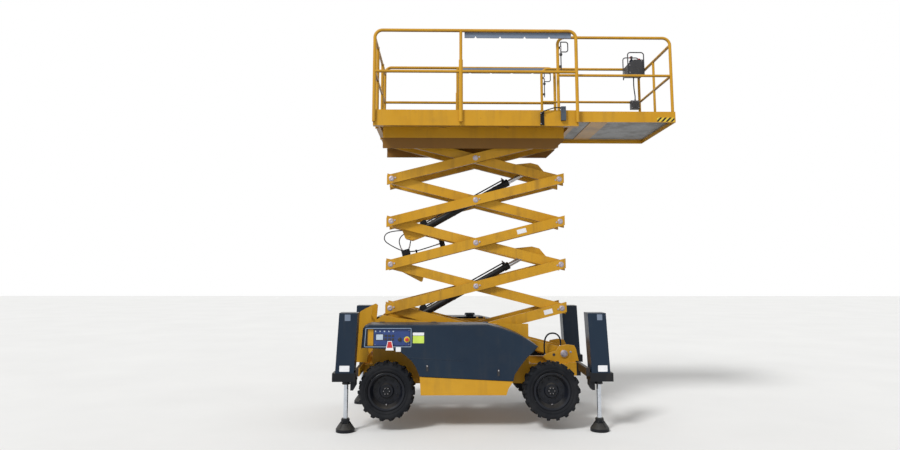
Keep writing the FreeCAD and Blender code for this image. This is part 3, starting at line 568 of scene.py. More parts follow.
def makeHoses(setup):
    for key in ("inner", "outer", "loop"):
        row = setup[key]
        points = [(x, row["y"], z) for x, z in row["route"]]
        hose = smoothCord(f"hose_{key}", points, setup["diameter"], "hose")
        onBody(hose, "outer_3", "hose_rubber", "hoses")
        ends = []
        for a, b in ((points[0], points[1]), (points[-1], points[-2])):
            way = (Vector(b) - Vector(a)).normalized()
            ends.append(turned("ferrule", [(0.0085, 0.0), (0.0100, 0.004), (0.0100, 0.030), (0.0092, 0.032),
                                           (0.0092, 0.036), (0.0098, 0.038), (0.0098, 0.050), (0.0080, 0.054)],
                               Vector(a) + way * 0.020, way, "zinc", 20))
        ferrules = onBody(joined(f"hose_{key}_ferrules", ends), "outer_3", "chrome_rod")


def makeRing(setup):
    points = [(x, setup["y"], z) for x, z in setup["route"]]
    hose = smoothCord("hose_standing_loop", points, setup["diameter"], "hose")
    onBody(hose, "chassis", "hose_rubber", "hose_ring")
    ends = []
    for x, z in (setup["route"][0], setup["route"][-1]):
        ends.append(block("ringClamp", (x - 0.014, -0.3357, z), (x + 0.014, -0.313, z + 0.022), "black", 0.003))
        ends.append(turned("ringNut", [(0.0105, -0.006), (0.0130, 0.000), (0.0130, 0.030), (0.0112, 0.034)],
                           (x, setup["y"], z - 0.001), (0, 0, 1), "zinc", 6))
        ends.append(hexBolt("ringBolt", (x + 0.0105, -0.3135, z + 0.011), (0, 1, 0), 0.005))
    clamps = onBody(joined("hose_loop_clamps", ends), "chassis", "black_paint", "hose_ring")


makeHoses(hoseSetup)
makeRing(ringSetup)
print("hoses made")


# ---- tyres and wheel trim ----

tyreSetup = {
    "lugsASide": 18, "lugTop": 0.3325, "steps": 96,
    # radius and distance from the wheel's middle, one side from bead to tread
    "side": [(0.2166, 0.094), (0.2240, 0.108), (0.2330, 0.1170), (0.2390, 0.1185), (0.2440, 0.1245),
             (0.2500, 0.1245), (0.2545, 0.1220), (0.2700, 0.1275), (0.2850, 0.1298), (0.2960, 0.1270),
             (0.3060, 0.1120), (0.3140, 0.0900), (0.3160, 0.0600)],
    "nuts": 9, "nutCircle": 0.125, "nutAcross": 0.024,
}


def makeLug(setup, hand):                # one slanting tread bar above the axle, in the middle of the wheel
    top = setup["lugTop"]
    low, high = sorted((hand * 0.004, hand * 0.102))
    lug = block("lug", (-0.024, low, 0.284), (0.022, high, top), "rubber", 0)
    editing(lug)
    pick(lug, "faces", lambda f: f.normal.y * hand > 0.9)
    bpy.ops.transform.translate(value=(0.027, 0, 0))
    bpy.ops.mesh.extrude_region_move(TRANSFORM_OT_translate={"value": (0.006, hand * 0.025, -0.008)})
    bpy.ops.transform.resize(value=(1, 1, 0.66), center_override=(0, 0, 0.284))
    pick(lug, "faces", lambda f: f.normal.z > 0.3)
    bpy.ops.transform.resize(value=(0.84, 1, 1), center_override=(0.010, 0, 0))
    bpy.ops.object.mode_set(mode="OBJECT")
    return rounded(lug, 0.0035, 2)


def makeTyre(setup):
    side = setup["side"]
    profile = side + [(0.3165, 0.0)] + [(r, -y) for r, y in reversed(side)] + [side[0]]
    ring = turned("tyre", profile, (0, 0, 0), (0, 1, 0), "rubber", setup["steps"], ring=True)
    parts = [ring]
    for hand in (-1, 1):
        turns = [Matrix.Rotation(math.radians(360.0 * (i + 0.25 * hand) / setup["lugsASide"]), 4, "Y")
                 for i in range(setup["lugsASide"])]
        parts.append(repeated(makeLug(setup, hand), turns))
    return joined("tyre", parts)


def makeWheelTrim(setup):                # nuts, hub cap, bead ring and valve; y grows outward
    out = (0, 1, 0)
    nut = hexBolt("nut", (0, 0, 0), out, setup["nutAcross"], "rim")
    spots = [2 * math.pi * (i + 0.5) / setup["nuts"] for i in range(setup["nuts"])]
    nuts = repeated(nut, [moved(math.cos(a) * setup["nutCircle"], 0.0226, math.sin(a) * setup["nutCircle"])
                          for a in spots])
    cap = turned("hubCap", [(0.044, 0.048), (0.047, 0.051), (0.047, 0.060), (0.041, 0.067), (0.026, 0.070),
                            (0.022, 0.069)], (0, 0, 0), out, "black", 40)
    capBolt = hexBolt("capBolt", (0, 0, 0), out, 0.007)
    capBolts = repeated(capBolt, [moved(math.cos(a) * 0.034, 0.0675, math.sin(a) * 0.034)
                                  for a in [math.pi * i / 3 for i in range(6)]])
    bead = turned("bead", [(0.1900, 0.0990), (0.1950, 0.1020), (0.2060, 0.1055), (0.2120, 0.1075), (0.2150, 0.1060),
                           (0.2150, 0.1020), (0.2100, 0.1000), (0.1900, 0.0990)], (0, 0, 0), out, "rim", 72,
                  ring=True)
    valve = turned("valve", [(0.0045, 0.0), (0.0055, 0.004), (0.0055, 0.018), (0.0040, 0.020), (0.0040, 0.034),
                             (0.0050, 0.036), (0.0050, 0.046)], (0.0, 0.028, -0.165), (0, 0.94, 0.34), "zinc", 12)
    return joined("wheelTrim", [nuts, cap, capBolts, bead, valve])


def makeWheels(setup):
    tyre, trim = makeTyre(setup), makeWheelTrim(setup)
    for end in ("rear", "front"):
        for side, hand in (("near", -1), ("far", 1)):
            centre = centreOf(f"tyre_{end}_{side}")
            place = moved(*centre) @ Matrix.Scale(hand, 4, (0, 1, 0))
            for first, name, slot, replaced in ((tyre, f"tyre_{end}_{side}_dressed", "tyre_rubber",
                                                 [f"tyre_{end}_{side}"]),
                                                (trim, f"wheel_{end}_{side}_trim", "rim_paint", [])):
                twin = first.copy()
                twin.data = first.data.copy()
                twin.name = name
                bpy.context.collection.objects.link(twin)
                onBody(repeated(twin, [place]), f"wheel_{end}_{side}", slot, *replaced)
    for first in (tyre, trim):
        bpy.data.objects.remove(first)


makeWheels(tyreSetup)
print("wheels dressed")


# ---- ground controls in the near hood's window ----

groundSetup = {
    "back": -0.8377,                     # floor of the tray
    "strip": (-1.712, -1.646), "panel": (-1.636, -1.214), "foot": 0.968, "top": 1.158,
    "lamps": [-1.618, -1.566, -1.514, -1.462, -1.410], "lampZ": 1.133,
    "keys": [(-1.500 + 0.042 * i, 1.082 - 0.040 * j) for i in range(3) for j in range(2)],
    "screen": (-1.612, -1.532, 1.036, 1.098),
    "stop": (-1.249, 1.039), "knob": (-1.334, 1.039),
    "window": [(-1.740, 0.963), (-1.205, 0.963), (-1.205, 1.165), (-1.726, 1.165)],
}


def makeGroundControls(setup):
    back, low, high = setup["back"], setup["foot"], setup["top"]
    out = (0, -1, 0)
    x0, x1 = setup["strip"]
    strip = plate("strip", (x0, back - 0.002, low), (x1, back + 0.001, high), "yellow", 0.006)
    ridges = repeated(block("ridge", (x0 + 0.010, back - 0.0035, -0.003), (x1 - 0.010, back - 0.001, 0.003), "yellow",
                            0.0012), [moved(0, 0, low + 0.030 + 0.032 * i) for i in range(5)])
    x0, x1 = setup["panel"]
    panel = plate("panel", (x0, back - 0.004, low), (x1, back + 0.001, high), "blue", 0.008)
    editing(panel)
    pick(panel, "faces", lambda f: f.normal.y < -0.9 and f.calc_area() > 0.01)
    bpy.ops.mesh.inset(thickness=0.006, depth=0)
    bpy.ops.mesh.inset(thickness=0.0015, depth=-0.001)
    bpy.ops.object.mode_set(mode="OBJECT")
    parts = [strip, ridges, panel]
    a, b, c, d = setup["screen"]
    frameRim = plate("screenRim", (a - 0.007, back - 0.0065, c - 0.007), (b + 0.007, back - 0.003, d + 0.007),
                     "plastic", 0.004)
    parts += [frameRim, plate("screen", (a, back - 0.0072, c), (b, back - 0.005, d), "lens", 0.002)]
    lamp = turned("lamp", [(0.0090, -0.001), (0.0092, 0.002), (0.0075, 0.003), (0.0070, 0.0022), (0.0060, 0.0045),
                           (0.0035, 0.0062), (0.0010, 0.0066)], (0, 0, 0), out, "lens", 20)
    parts.append(repeated(lamp, [moved(x, back - 0.004, setup["lampZ"]) for x in setup["lamps"]]))
    key = block("key", (-0.0145, -0.0045, -0.0125), (0.0145, 0.0010, 0.0125), "plastic", 0.0018, 3)
    editing(key)
    pick(key, "faces", lambda f: f.normal.y < -0.9 and f.calc_area() > 0.0002)
    bpy.ops.mesh.inset(thickness=0.004, depth=-0.0008)
    bpy.ops.object.mode_set(mode="OBJECT")
    parts.append(repeated(key, [moved(x, back - 0.004, z) for x, z in setup["keys"]]))
    x, z = setup["stop"]
    parts.append(turned("stopRing", [(0.0335, 0.001), (0.0345, 0.0045), (0.0320, 0.0068), (0.0200, 0.0070)],
                        (x, back, z), out, "signal", 40))
    parts.append(turned("stopHead", [(0.0130, 0.006), (0.0135, 0.0145), (0.0205, 0.0155), (0.0228, 0.0185),
                                     (0.0225, 0.0215), (0.0190, 0.0250), (0.0110, 0.0267), (0.0030, 0.0272)],
                        (x, back, z), out, "red", 40))
    x, z = setup["knob"]
    parts.append(turned("knobRing", [(0.0230, 0.003), (0.0235, 0.0065), (0.0190, 0.0080), (0.0182, 0.0155),
                                     (0.0160, 0.0172), (0.0060, 0.0174)], (x, back, z), out, "plastic", 32))
    parts.append(block("knobGrip", (x - 0.0045, back - 0.0262, z - 0.0155), (x + 0.0045, back - 0.015, z + 0.0155),
                       "plastic", 0.002, 3))
    screws = [(setup["panel"][0] + 0.012, low + 0.012), (setup["panel"][1] - 0.012, low + 0.012),
              (setup["panel"][0] + 0.012, high - 0.012), (setup["panel"][1] - 0.012, high - 0.012)]
    screw = turned("screw", [(0.0045, -0.001), (0.0046, 0.0012), (0.0036, 0.0024), (0.0015, 0.0026)], (0, 0, 0), out,
                   "zinc", 12)
    parts.append(repeated(screw, [moved(x, back - 0.003, z) for x, z in screws]))
    onBody(joined("ground_controls", parts), "hood_near", "panel_plastic")


def makeWindowTrim(setup):               # thin pale seal round the window
    xs, zs = [x for x, z in setup["window"]], [z for x, z in setup["window"]]
    centre = ((min(xs) + max(xs)) / 2, -0.8677, (min(zs) + max(zs)) / 2)
    begin()
    bpy.ops.mesh.primitive_plane_add(size=1, location=centre, rotation=(math.pi / 2, 0, 0))
    trim = settle(bpy.context.object, "ground_window_trim", "trim")
    editing(trim)
    bpy.ops.mesh.select_all(action="SELECT")
    bpy.ops.transform.resize(value=(max(xs) - min(xs) + 0.018, 1, max(zs) - min(zs) + 0.018), center_override=centre)
    pick(trim, "verts", lambda v: v.co.x < centre[0] and v.co.z > centre[2])
    bpy.ops.transform.translate(value=(setup["window"][3][0] - setup["window"][0][0], 0, 0))
    bpy.ops.mesh.select_all(action="SELECT")
    bpy.ops.mesh.bevel(offset=0.010, segments=4, affect="VERTICES")
    bpy.ops.mesh.inset(thickness=0.008)
    bpy.ops.mesh.delete(type="FACE")
    bpy.ops.mesh.select_all(action="SELECT")
    bpy.ops.mesh.extrude_region_move(TRANSFORM_OT_translate={"value": (0, -0.0018, 0)})
    bpy.ops.object.mode_set(mode="OBJECT")
    onBody(tidied(rounded(trim, 0.0006, 1)), "hood_near", "bar_paint")


makeGroundControls(groundSetup)
makeWindowTrim(groundSetup)
print("ground controls made")


# ---- hood latches and beads ----

hoodSetup = {
    "faceY": 0.868, "pocketY": 0.8655,
    "latches": [(-1.008, 0.7125), (-0.1725, 0.6590)],
    "bead": ((-1.242, 0.833), (-0.605, 0.797)), "beadHigh": 0.010,
}


def makeHoodTrim(setup):
    out = (0, -1, 0)
    cup = plate("cup", (-0.0135, -0.0016, -0.036), (0.0135, 0.0005, 0.036), "plastic", 0.005)
    paddle = block("paddle", (-0.0095, -0.0068, -0.030), (0.0095, -0.0010, 0.012), "plastic", 0.0022, 3)
    editing(paddle)
    pick(paddle, "faces", lambda f: f.normal.y < -0.9 and f.calc_area() > 0.0003)
    bpy.ops.mesh.inset(thickness=0.0025, depth=-0.0012)
    bpy.ops.object.mode_set(mode="OBJECT")
    lock = turned("lock", [(0.0068, 0.000), (0.0070, 0.0042), (0.0052, 0.0054), (0.0048, 0.0046), (0.0010, 0.0046)],
                  (0, 0, 0.0245), out, "zinc", 20)
    latch = joined("latch", [cup, paddle, lock])
    (x0, z0), (x1, z1) = setup["bead"]
    length, high = math.hypot(x1 - x0, z1 - z0), setup["beadHigh"] / 2
    bead = block("bead", (-length / 2, -0.0022, -high), (length / 2, 0.0010, high), "slate", 0.0019, 3)
    editing(bead)
    pick(bead, "faces", lambda f: abs(f.normal.x) > 0.9)
    bpy.ops.transform.resize(value=(1, 0.4, 0.4), center_override=(0, 0, 0))
    bpy.ops.object.mode_set(mode="OBJECT")
    lean = Matrix.Rotation(-math.atan2(z1 - z0, x1 - x0), 4, "Y")
    for side, hand in (("near", 1), ("far", -1)):
        flip = Matrix.Scale(hand, 4, (0, 1, 0))
        parts = []
        for first, places in (
                (latch, [flip @ moved(x, -setup["pocketY"], z) for x, z in setup["latches"]]),
                (bead, [flip @ moved((x0 + x1) / 2, -setup["faceY"], (z0 + z1) / 2) @ lean])):
            twin = first.copy()
            twin.data = first.data.copy()
            bpy.context.collection.objects.link(twin)
            parts.append(repeated(twin, places))
        onBody(joined(f"hood_{side}_trim", parts), f"hood_{side}", "slate_paint")
    for first in (latch, bead):
        bpy.data.objects.remove(first)


makeHoodTrim(hoodSetup)
print("hood trim made")


# ---- blank plates where the photo has labels ----

plateSetup = {
    "thick": 0.0012,
    # name, body, finish, left, right, bottom, top, Y of the face behind
    "flat": [
        ("cover_rear_low", "chassis", "white", -2.022, -1.906, 0.686, 0.753, -0.945),
        ("cover_rear_high", "chassis", "bar", -1.972, -1.905, 1.262, 1.335, -0.945),
        ("cover_front_low", "chassis", "white", 0.978, 1.088, 0.683, 0.754, -0.945),
        ("cover_front_high", "chassis", "bar", 0.982, 1.044, 1.270, 1.337, -0.945),
        ("hood_lime", "hood_near", "lime", -1.179, -1.047, 0.999, 1.084, -0.868),
        ("hood_lime_top", "hood_near", "white", -1.179, -1.047, 1.088, 1.122, -0.868),
        ("hood_small", "hood_near", "white", -1.378, -1.318, 0.902, 0.956, -0.868),
    ],
    # name, body, finish, stage, place along the outer arm, length, height
    "arms": [("arm_low", "outer_1", "white", 1, 2.070, 0.112, 0.058),
             ("arm_high", "outer_3", "white", 3, 1.735, 0.122, 0.058)],
    "tag": {"foot": (-1.497, -1.402, 0.917), "top": (-1.474, -1.424, 1.024), "band": 0.022, "y": -0.8695},
}


def makeBlankPlates(setup):
    thick = setup["thick"]
    for name, body, finish, x0, x1, z0, z1, y in setup["flat"]:
        low, high = (x0, y - thick, z0), (x1, y + 0.0004, z1)
        sheet = plate("blank_" + name, low, high, finish, 0.005)
        editing(sheet)
        pick(sheet, "faces", lambda f: f.normal.y < -0.9 and f.calc_area() > 0.001)
        bpy.ops.mesh.inset(thickness=0.004, depth=-0.0003)
        bpy.ops.object.mode_set(mode="OBJECT")
        onBody(sheet, body, "panel_plastic")
    for name, body, finish, stage, along, wide, high in setup["arms"]:
        sheet = plate("blank_" + name, (-wide / 2, -thick, -high / 2), (wide / 2, 0.0004, high / 2), finish, 0.004)
        x, z = onOuterArm(stage, along)
        lean = Matrix.Rotation(-math.radians(lift["restDeg"]), 4, "Y")
        onBody(repeated(sheet, [moved(x, -lift["face"], z) @ lean]), body, "panel_plastic")


def makeTag(row):                        # tapered blank tag over the window's lower edge
    (x0, x1, low), (x2, x3, high), y = row["foot"], row["top"], row["y"]
    tag = block("hood_tag", (x0, y - 0.0016, low), (x1, y, high), "white", 0)
    editing(tag)
    pick(tag, "verts", lambda v: v.co.z > (low + high) / 2)
    bpy.ops.transform.resize(value=((x3 - x2) / (x1 - x0), 1, 1), center_override=((x0 + x1) / 2, y, high))
    bpy.ops.mesh.select_all(action="SELECT")
    bpy.ops.mesh.bisect(plane_co=(0, 0, low + row["band"]), plane_no=(0, 0, 1))
    bpy.ops.mesh.select_mode(type="FACE")
    pick(tag, "faces", lambda f: f.normal.y < -0.9 and f.calc_center_median().z > low + row["band"])
    bpy.ops.mesh.inset(thickness=0.007)
    tag.data.materials.append(finishes["red"])
    tag.active_material_index = 1
    bpy.ops.object.material_slot_assign()
    bpy.ops.object.mode_set(mode="OBJECT")
    onBody(rounded(tag, 0.0006, 1), "hood_near", "panel_plastic")


makeBlankPlates(plateSetup)
makeTag(plateSetup["tag"])
print("blank plates made")


# ---- pin caps and keepers on the outer arms ----

capSetup = {
    "cap": [(0.0345, -0.0005), (0.0350, 0.0022), (0.0330, 0.0032), (0.0268, 0.0034), (0.0262, 0.0085),
            (0.0236, 0.0104), (0.0170, 0.0110), (0.0140, 0.0100), (0.0020, 0.0100)],
    "keeperOff": 0.050, "boltAcross": 0.015,
}


def makePinCaps(setup):
    out = (0, -1, 0)
    cap = turned("pinCap", setup["cap"], (0, 0, 0), out, "pin", 40)
    off = setup["keeperOff"]
    tab = plate("keeper", (off - 0.024, -0.0036, -0.009), (off + 0.012, 0.0004, 0.009), "yellowArm", 0.004)
    bolt = hexBolt("keeperBolt", (off, -0.0030, 0), out, setup["boltAcross"])
    first = joined("pinCap", [cap, tab, bolt])
    lean = Matrix.Rotation(-math.radians(lift["restDeg"]), 4, "Y")
    for k in range(1, 6):
        places = []
        for along, hand in ((0.0, 1), (lift["arm"] / 2, 1), (lift["arm"], -1)):
            if k == 1 and along == 0.0:
                continue
            x, z = onOuterArm(k, along)
            for side in (1, -1):
                turn = lean @ Matrix.Rotation(0 if hand > 0 else math.pi, 4, "Y")
                places.append(Matrix.Scale(side, 4, (0, 1, 0)) @ moved(x, -lift["face"], z) @ turn)
        twin = first.copy()
        twin.data = first.data.copy()
        twin.name = f"pin_caps_{k}"
        bpy.context.collection.objects.link(twin)
        onBody(repeated(twin, places), f"outer_{k}", "chrome_rod")
    bpy.data.objects.remove(first)


makePinCaps(capSetup)
print("pin caps made")


# ---- pivots, collars and bolts on the chassis ----

chassisSetup = {
    "pivot": (0.688, 0.820), "bossY": 0.384, "plateY": 0.372, "hole": (0.562, 0.806),
    "keeper": (0.052, 0.064),
    "covers": {"bolt": 0.016, "inset": 0.020, "z": (0.705, 1.318)},
    "legs": {(end, side): centreOf(f"leg_{end}_{side}") for end in ("rear", "front") for side in ("near", "far")},
    "legFoot": 0.541,
}


def makeChassisTrim(setup):
    parts = []
    x, z = setup["pivot"]
    for side in (-1, 1):
        out = (0, side, 0)
        parts.append(turned("pivotCap", [(0.0440, -0.001), (0.0445, 0.003), (0.0410, 0.0050), (0.0320, 0.0055),
                                         (0.0310, 0.0092), (0.0270, 0.0105), (0.0150, 0.0108)],
                            (x, side * setup["bossY"], z), out, "pin", 48))
        parts.append(hexBolt("pivotBolt", (x + 0.085, side * setup["plateY"], z + 0.020), out, 0.018))
        hx, hz = setup["hole"]
        parts.append(turned("plug", [(0.0175, -0.0005), (0.0180, 0.0020), (0.0150, 0.0030), (0.0135, 0.0012),
                                     (0.0020, 0.0010)], (hx, side * setup["plateY"], hz), out, "plastic", 28))
        for bx, bz in ((0.470, 0.620), (0.800, 0.700), (0.820, 0.620)):
            parts.append(hexBolt("plateBolt", (bx, side * setup["plateY"], bz), out, 0.022))
    collar = turned("collar", [(0.0462, -0.004), (0.0490, -0.002), (0.0490, 0.006), (0.0450, 0.0105),
                               (0.0300, 0.0115), (0.0272, 0.0095), (0.0272, -0.004), (0.0462, -0.004)],
                    (0, 0, 0), (0, 0, -1), "plastic", 40, ring=True)
    parts.append(repeated(collar, [moved(spot.x, spot.y, setup["legFoot"]) for spot in setup["legs"].values()]))
    return onBody(joined("chassis_trim", parts), "chassis", "black_paint")


def makeFootRibs(setup):
    for (end, side), spot in setup["legs"].items():
        rib = block("rib", (0.038, -0.004, 0.036), (0.098, 0.004, 0.052), "black", 0)
        editing(rib)
        pick(rib, "verts", lambda v: v.co.x < 0.05 and v.co.z > 0.045)
        bpy.ops.transform.translate(value=(0.002, 0, 0.078))
        bpy.ops.object.mode_set(mode="OBJECT")
        ribs = repeated(rounded(rib, 0.0015, 1), [moved(spot.x, spot.y, 0) @ Matrix.Rotation(math.pi * i / 3, 4, "Z")
                                                  for i in range(6)])
        band = turned("band", [(0.0470, 0.0), (0.0500, 0.003), (0.0500, 0.015), (0.0470, 0.018)],
                      (spot.x, spot.y, 0.122), (0, 0, 1), "black", 36)
        pad = turned("pad", [(0.1088, 0.002), (0.1089, 0.008), (0.1075, 0.012)], (spot.x, spot.y, 0), (0, 0, 1),
                     "rubber", 56)
        onBody(joined(f"foot_{end}_{side}_trim", [ribs, band, pad]), f"leg_{end}_{side}", "black_paint")


makeChassisTrim(chassisSetup)
makeFootRibs(chassisSetup)
print("chassis trim made")


# ---- controls, cables and handles on the deck ----

deckSetup = {
    "box": {"left": 1.8297, "right": 2.0597, "near": 0.330, "far": 0.560, "foot": 4.640, "top": 4.850,
            "slopeX": 1.9097, "slopeZ": 4.790},
    "stop": (2.002, 0.388), "toggles": [(1.990, 0.470), (1.990, 0.505), (1.990, 0.540)],
    "socket": {"left": 1.925, "right": 2.045, "near": 0.5787, "far": 0.6587, "foot": 4.1875, "top": 4.3135},
    "knob": {"x": 0.674, "y": 0.676, "z": 4.584},
    "cable": {"diameter": 0.016, "length": 0.350,
              "route": [(1.9400, 0.470, 4.6120), (1.9380, 0.476, 4.5400), (1.9560, 0.520, 4.4500),
                        (1.9850, 0.580, 4.3900), (1.9950, 0.612, 4.3560), (1.9950, 0.618, 4.3135)]},
}


def makeControlTop(setup):
    box = setup["box"]
    up = (0, 0, 1)
    parts = []
    x, y, z = box["slopeX"], (box["near"] + box["far"]) / 2, box["top"]
    parts.append(turned("boot", [(0.0340, -0.004), (0.0360, 0.0020), (0.0300, 0.0060), (0.0320, 0.0120),
                                 (0.0240, 0.0160), (0.0260, 0.0220), (0.0170, 0.0270), (0.0185, 0.0330),
                                 (0.0110, 0.0400)], (x, y, z), up, "rubber", 36))
    parts.append(turned("grip", [(0.0110, 0.034), (0.0135, 0.042), (0.0150, 0.050), (0.0172, 0.060),
                                 (0.0186, 0.071), (0.0170, 0.080), (0.0100, 0.0845), (0.0030, 0.0850)], (x, y, z), up,
                        "plastic", 36))
    parts.append(block("trigger", (x - 0.0245, y - 0.006, z + 0.052), (x - 0.012, y + 0.006, z + 0.074), "red",
                       0.0025, 3))
    sx, sy = setup["stop"]
    parts.append(turned("stopBase", [(0.0290, -0.001), (0.0295, 0.0040), (0.0270, 0.0065), (0.0150, 0.0070)],
                        (sx, sy, z), up, "signal", 40))
    parts.append(turned("stopHead", [(0.0120, 0.006), (0.0125, 0.0150), (0.0185, 0.0165), (0.0205, 0.0200),
                                     (0.0200, 0.0240), (0.0150, 0.0285), (0.0060, 0.0305)], (sx, sy, z), up, "red", 40))
    for tx, ty in setup["toggles"]:
        parts.append(turned("toggleNut", [(0.0075, -0.001), (0.0080, 0.0005), (0.0080, 0.0040), (0.0060, 0.0050)],
                            (tx, ty, z), up, "zinc", 6))
        parts.append(turned("toggle", [(0.0032, 0.004), (0.0026, 0.012), (0.0040, 0.022), (0.0036, 0.026)],
                            (tx, ty, z), (0.25, 0, 1), "chrome", 16))
    slope = math.atan2(box["top"] - box["slopeZ"], box["slopeX"] - box["left"])
    face = block("keypad", (-0.038, box["near"] - y + 0.016, -0.0008), (0.030, box["far"] - y - 0.016, 0.0018), "blue",
                 0.0008, 1)
    editing(face)
    pick(face, "faces", lambda f: f.normal.z > 0.9 and f.calc_area() > 0.002)
    bpy.ops.mesh.inset(thickness=0.004, depth=-0.0006)
    bpy.ops.object.mode_set(mode="OBJECT")
    key = block("padKey", (-0.008, -0.010, 0.0004), (0.008, 0.010, 0.0036), "plastic", 0.0014, 2)
    keys = repeated(key, [moved(-0.016 + 0.026 * i, -0.072 + 0.036 * j, 0) for i in range(2) for j in range(5)])
    lean = moved((box["left"] + box["slopeX"]) / 2, y, (box["slopeZ"] + box["top"]) / 2) @ Matrix.Rotation(-slope, 4,
                                                                                                          "Y")
    parts.append(repeated(joined("keypad", [face, keys]), [lean]))
    for side, edge in ((-1, box["near"]), (1, box["far"])):
        for bx, bz in ((1.850, 4.660), (2.025, 4.830), (1.850, 4.765)):
            parts.append(hexBolt("boxScrew", (bx, edge, bz), (0, side, 0), 0.009))
    gx, gy, gz = setup["cable"]["route"][0]
    parts.append(turned("gland", [(0.0130, -0.001), (0.0140, 0.002), (0.0140, 0.012), (0.0115, 0.014),
                                  (0.0115, 0.020), (0.0080, 0.028)], (gx, gy, box["foot"]), (0, 0, -1), "plastic", 6))
    onBody(joined("control_box_trim", parts), "extension", "panel_plastic")


def makeSocketTrim(setup):
    low = setup["socket"]
    y = low["near"]
    lid = block("lid", (low["left"] + 0.006, y - 0.0080, low["foot"] + 0.008),
                (low["right"] - 0.006, y + 0.001, low["top"] - 0.014), "plastic", 0.003, 3)
    editing(lid)
    pick(lid, "faces", lambda f: f.normal.y < -0.9 and f.calc_area() > 0.003)
    bpy.ops.mesh.inset(thickness=0.010, depth=-0.0018)
    bpy.ops.mesh.inset(thickness=0.003, depth=0.0018)
    bpy.ops.object.mode_set(mode="OBJECT")
    parts = [lid, turned("hinge", [(0.0038, 0), (0.0045, 0.001), (0.0045, 0.089), (0.0038, 0.090)],
                         (low["left"] + 0.015, y - 0.0035, low["top"] - 0.009), (1, 0, 0), "zinc", 16)]
    for dx in (0.012, 0.108):
        for dz in (0.014, 0.100):
            parts.append(hexBolt("lidScrew", (low["left"] + dx, y - 0.0078, low["foot"] + dz), (0, -1, 0), 0.007))
    gx, gy, gz = setup["cable"]["route"][-1]
    parts.append(turned("gland", [(0.0140, -0.001), (0.0150, 0.002), (0.0150, 0.010), (0.0120, 0.012),
                                  (0.0120, 0.020), (0.0080, 0.030)], (gx, gy, low["top"]), (0, 0, 1), "plastic", 6))
    onBody(joined("socket_box_trim", parts), "extension", "panel_plastic")


def makeControlCable(setup):
    row = setup["cable"]
    cable = smoothCord("control_cable", row["route"], row["diameter"], "hose")
    onBody(cable, "extension", "hose_rubber")


def makeHandleKnobs(setup):
    row = setup["knob"]
    knob = turned("knob", [(0.0090, -0.021), (0.0165, -0.016), (0.0195, -0.005), (0.0195, 0.006), (0.0150, 0.015),
                           (0.0090, 0.019)], (0, 0, 0), (0, 0, 1), "plastic", 28)
    sleeve = turned("sleeve", [(0.0098, 0.060), (0.0105, 0.062), (0.0105, 0.096), (0.0092, 0.098)], (0, 0, 0),
                    (0, 0, 1), "zinc", 20)
    both = repeated(joined("knob", [knob, sleeve]), [moved(row["x"], side * row["y"], row["z"]) for side in (-1, 1)])
    both.name = "lock_handle_knobs"
    onBody(both, "extension", "panel_plastic")


makeControlTop(deckSetup)
makeSocketTrim(deckSetup)
makeControlCable(deckSetup)
makeHandleKnobs(deckSetup)
print("deck controls made")


# ---- platform trim: side cable, its glands and the side clip's bolts ----

platformSetup = {
    "cable": {"diameter": 0.013, "length": 0.242,
              "route": [(0.4110, -0.7850, 3.7960), (0.4200, -0.7870, 3.8130), (0.4780, -0.7900, 3.8320),
                        (0.5600, -0.7910, 3.8590), (0.6000, -0.7910, 3.8600), (0.6380, -0.7910, 3.8560)]},
}


def makeSideCable(setup):
    row = setup["cable"]
    cable = smoothCord("side_cable", row["route"], row["diameter"], "hose")
    onBody(cable, "platform", "hose_rubber")
    ends = [turned("sideGland", [(0.0095, -0.003), (0.0105, 0.0), (0.0105, 0.008), (0.0075, 0.014)],
                   row["route"][-1], (-1, 0, 0), "plastic", 16),
            turned("clipGland", [(0.0095, -0.004), (0.0105, 0.0), (0.0105, 0.006), (0.0075, 0.011)],
                   row["route"][0], (0.2, 0, 1), "plastic", 16),
            hexBolt("clipBolt", (0.3870, -0.7970, 3.655), (0, -1, 0), 0.008),
            hexBolt("clipBolt", (0.3870, -0.7970, 3.785), (0, -1, 0), 0.008)]
    glands = onBody(joined("side_cable_glands", ends), "platform", "panel_plastic")


makeSideCable(platformSetup)
print("platform trim made")



# ---- lift cylinders: wiper rings, pipe bands and port fittings ----

cylinderSetup = {
    "barrels": {"lower": (-1.26337, 1.18793), "upper": (-1.26337, 2.29181)},
    "way": (0.87388, 0.48614), "length": 1.5, "bodyRadius": 0.047, "slimRadius": 0.04,
}


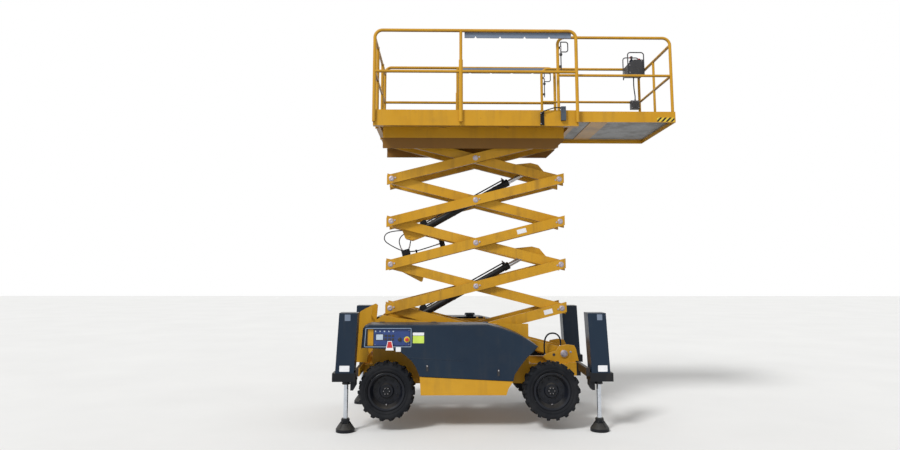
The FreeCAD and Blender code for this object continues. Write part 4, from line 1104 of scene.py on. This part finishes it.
def makeCylinderTrim(setup, which):
    fx, fz = setup["barrels"][which]
    ux, uz = setup["way"]
    along = (ux, 0, uz)
    end, slim, body = setup["length"], setup["slimRadius"], setup["bodyRadius"]

    def spot(reach, off=0.0, y=0.0):
        return (fx + ux * reach - uz * off, y, fz + uz * reach + ux * off)

    parts = [turned("wiper", [(slim + 0.0075, -0.018), (slim + 0.0095, -0.016), (slim + 0.0095, -0.002),
                              (slim + 0.004, 0.004), (slim - 0.004, 0.006), (slim - 0.010, 0.0065),
                              (slim - 0.010, -0.018), (slim + 0.0075, -0.018)], spot(end), along, "black", 36, True)]
    for reach, radius in ((0.36, body), (0.66, body), (1.02, slim), (1.30, slim)):
        parts.append(turned("band", [(radius + 0.0005, -0.011), (radius + 0.0030, -0.009), (radius + 0.0030, 0.009),
                                     (radius + 0.0005, 0.011)], spot(reach), along, "black", 36, True))
    for reach, off in ((0.142, slim + 0.022), (end - 0.050, slim + 0.030)):
        parts.append(turned("portNut", [(0.0120, -0.002), (0.0135, 0.0), (0.0135, 0.013), (0.0120, 0.015),
                                        (0.0080, 0.017), (0.0080, 0.026)], spot(reach, off),
                            (-uz, 0, ux) if reach > 1 else (-ux, 0, -uz), "zinc", 6))
    for side in (-1, 1):
        parts.append(turned("eyeWasher", [(0.0300, 0.0), (0.0300, 0.0025), (0.0220, 0.0030)],
                            spot(0, 0, side * 0.0478), (0, side, 0), "zinc", 28))
    onBody(joined(f"cylinder_{which}_trim", parts), f"barrel_{which}", "cast_block")


for which in ("lower", "upper"):
    makeCylinderTrim(cylinderSetup, which)
print("cylinder trim made")


# ---- floor and light ----

studio = {
    "skyStrength": 0.62,
    "sunStrength": 2.3,
    "sunSoftDeg": 14,
    "sunTurnDeg": (48, 0, -38),
    "floorColour": (0.80, 0.80, 0.79),
    "floorHalf": 40,
}


def makeStage(setup):
    begin()
    bpy.ops.mesh.primitive_plane_add(size=2 * setup["floorHalf"], location=(0, 0, -0.001))
    floor = bpy.context.object
    floor.name = "floor"
    finish = Finish("floorFinish")
    shade = finish.ramp(finish.noise(0.6), (0.3, 0.96), (0.7, 1.0))
    tint = finish.blendColour(1.0, shade, setup["floorColour"], "MULTIPLY")
    finish.set(BaseColor=tint, Roughness=0.9, Specular=0.1)
    floor.data.materials.append(finish.material)

    world = bpy.data.worlds.new("studioWorld")
    bpy.context.scene.world = world
    world.use_nodes = True
    tree = world.node_tree
    tree.nodes.clear()
    path = tree.nodes.new("ShaderNodeLightPath")
    direct = tree.nodes.new("ShaderNodeMath")
    direct.operation = "MAXIMUM"
    anyRay = tree.nodes.new("ShaderNodeMath")
    anyRay.operation = "MAXIMUM"
    tree.links.new(path.outputs["Is Camera Ray"], direct.inputs[0])
    tree.links.new(path.outputs["Is Glossy Ray"], direct.inputs[1])
    tree.links.new(direct.outputs[0], anyRay.inputs[0])
    tree.links.new(path.outputs["Is Transmission Ray"], anyRay.inputs[1])
    strength = tree.nodes.new("ShaderNodeMapRange")
    strength.inputs["To Min"].default_value = setup["skyStrength"]
    strength.inputs["To Max"].default_value = 1.0
    tree.links.new(anyRay.outputs[0], strength.inputs["Value"])
    background = tree.nodes.new("ShaderNodeBackground")
    background.inputs["Color"].default_value = (1, 1, 1, 1)
    tree.links.new(strength.outputs[0], background.inputs["Strength"])
    out = tree.nodes.new("ShaderNodeOutputWorld")
    tree.links.new(background.outputs[0], out.inputs[0])

    sun = bpy.data.lights.new("keySun", "SUN")
    sun.energy = setup["sunStrength"]
    sun.angle = math.radians(setup["sunSoftDeg"])
    sunObject = bpy.data.objects.new("keySun", sun)
    sunObject.rotation_euler = [math.radians(a) for a in setup["sunTurnDeg"]]
    bpy.context.collection.objects.link(sunObject)


makeStage(studio)
print("floor and light ready")
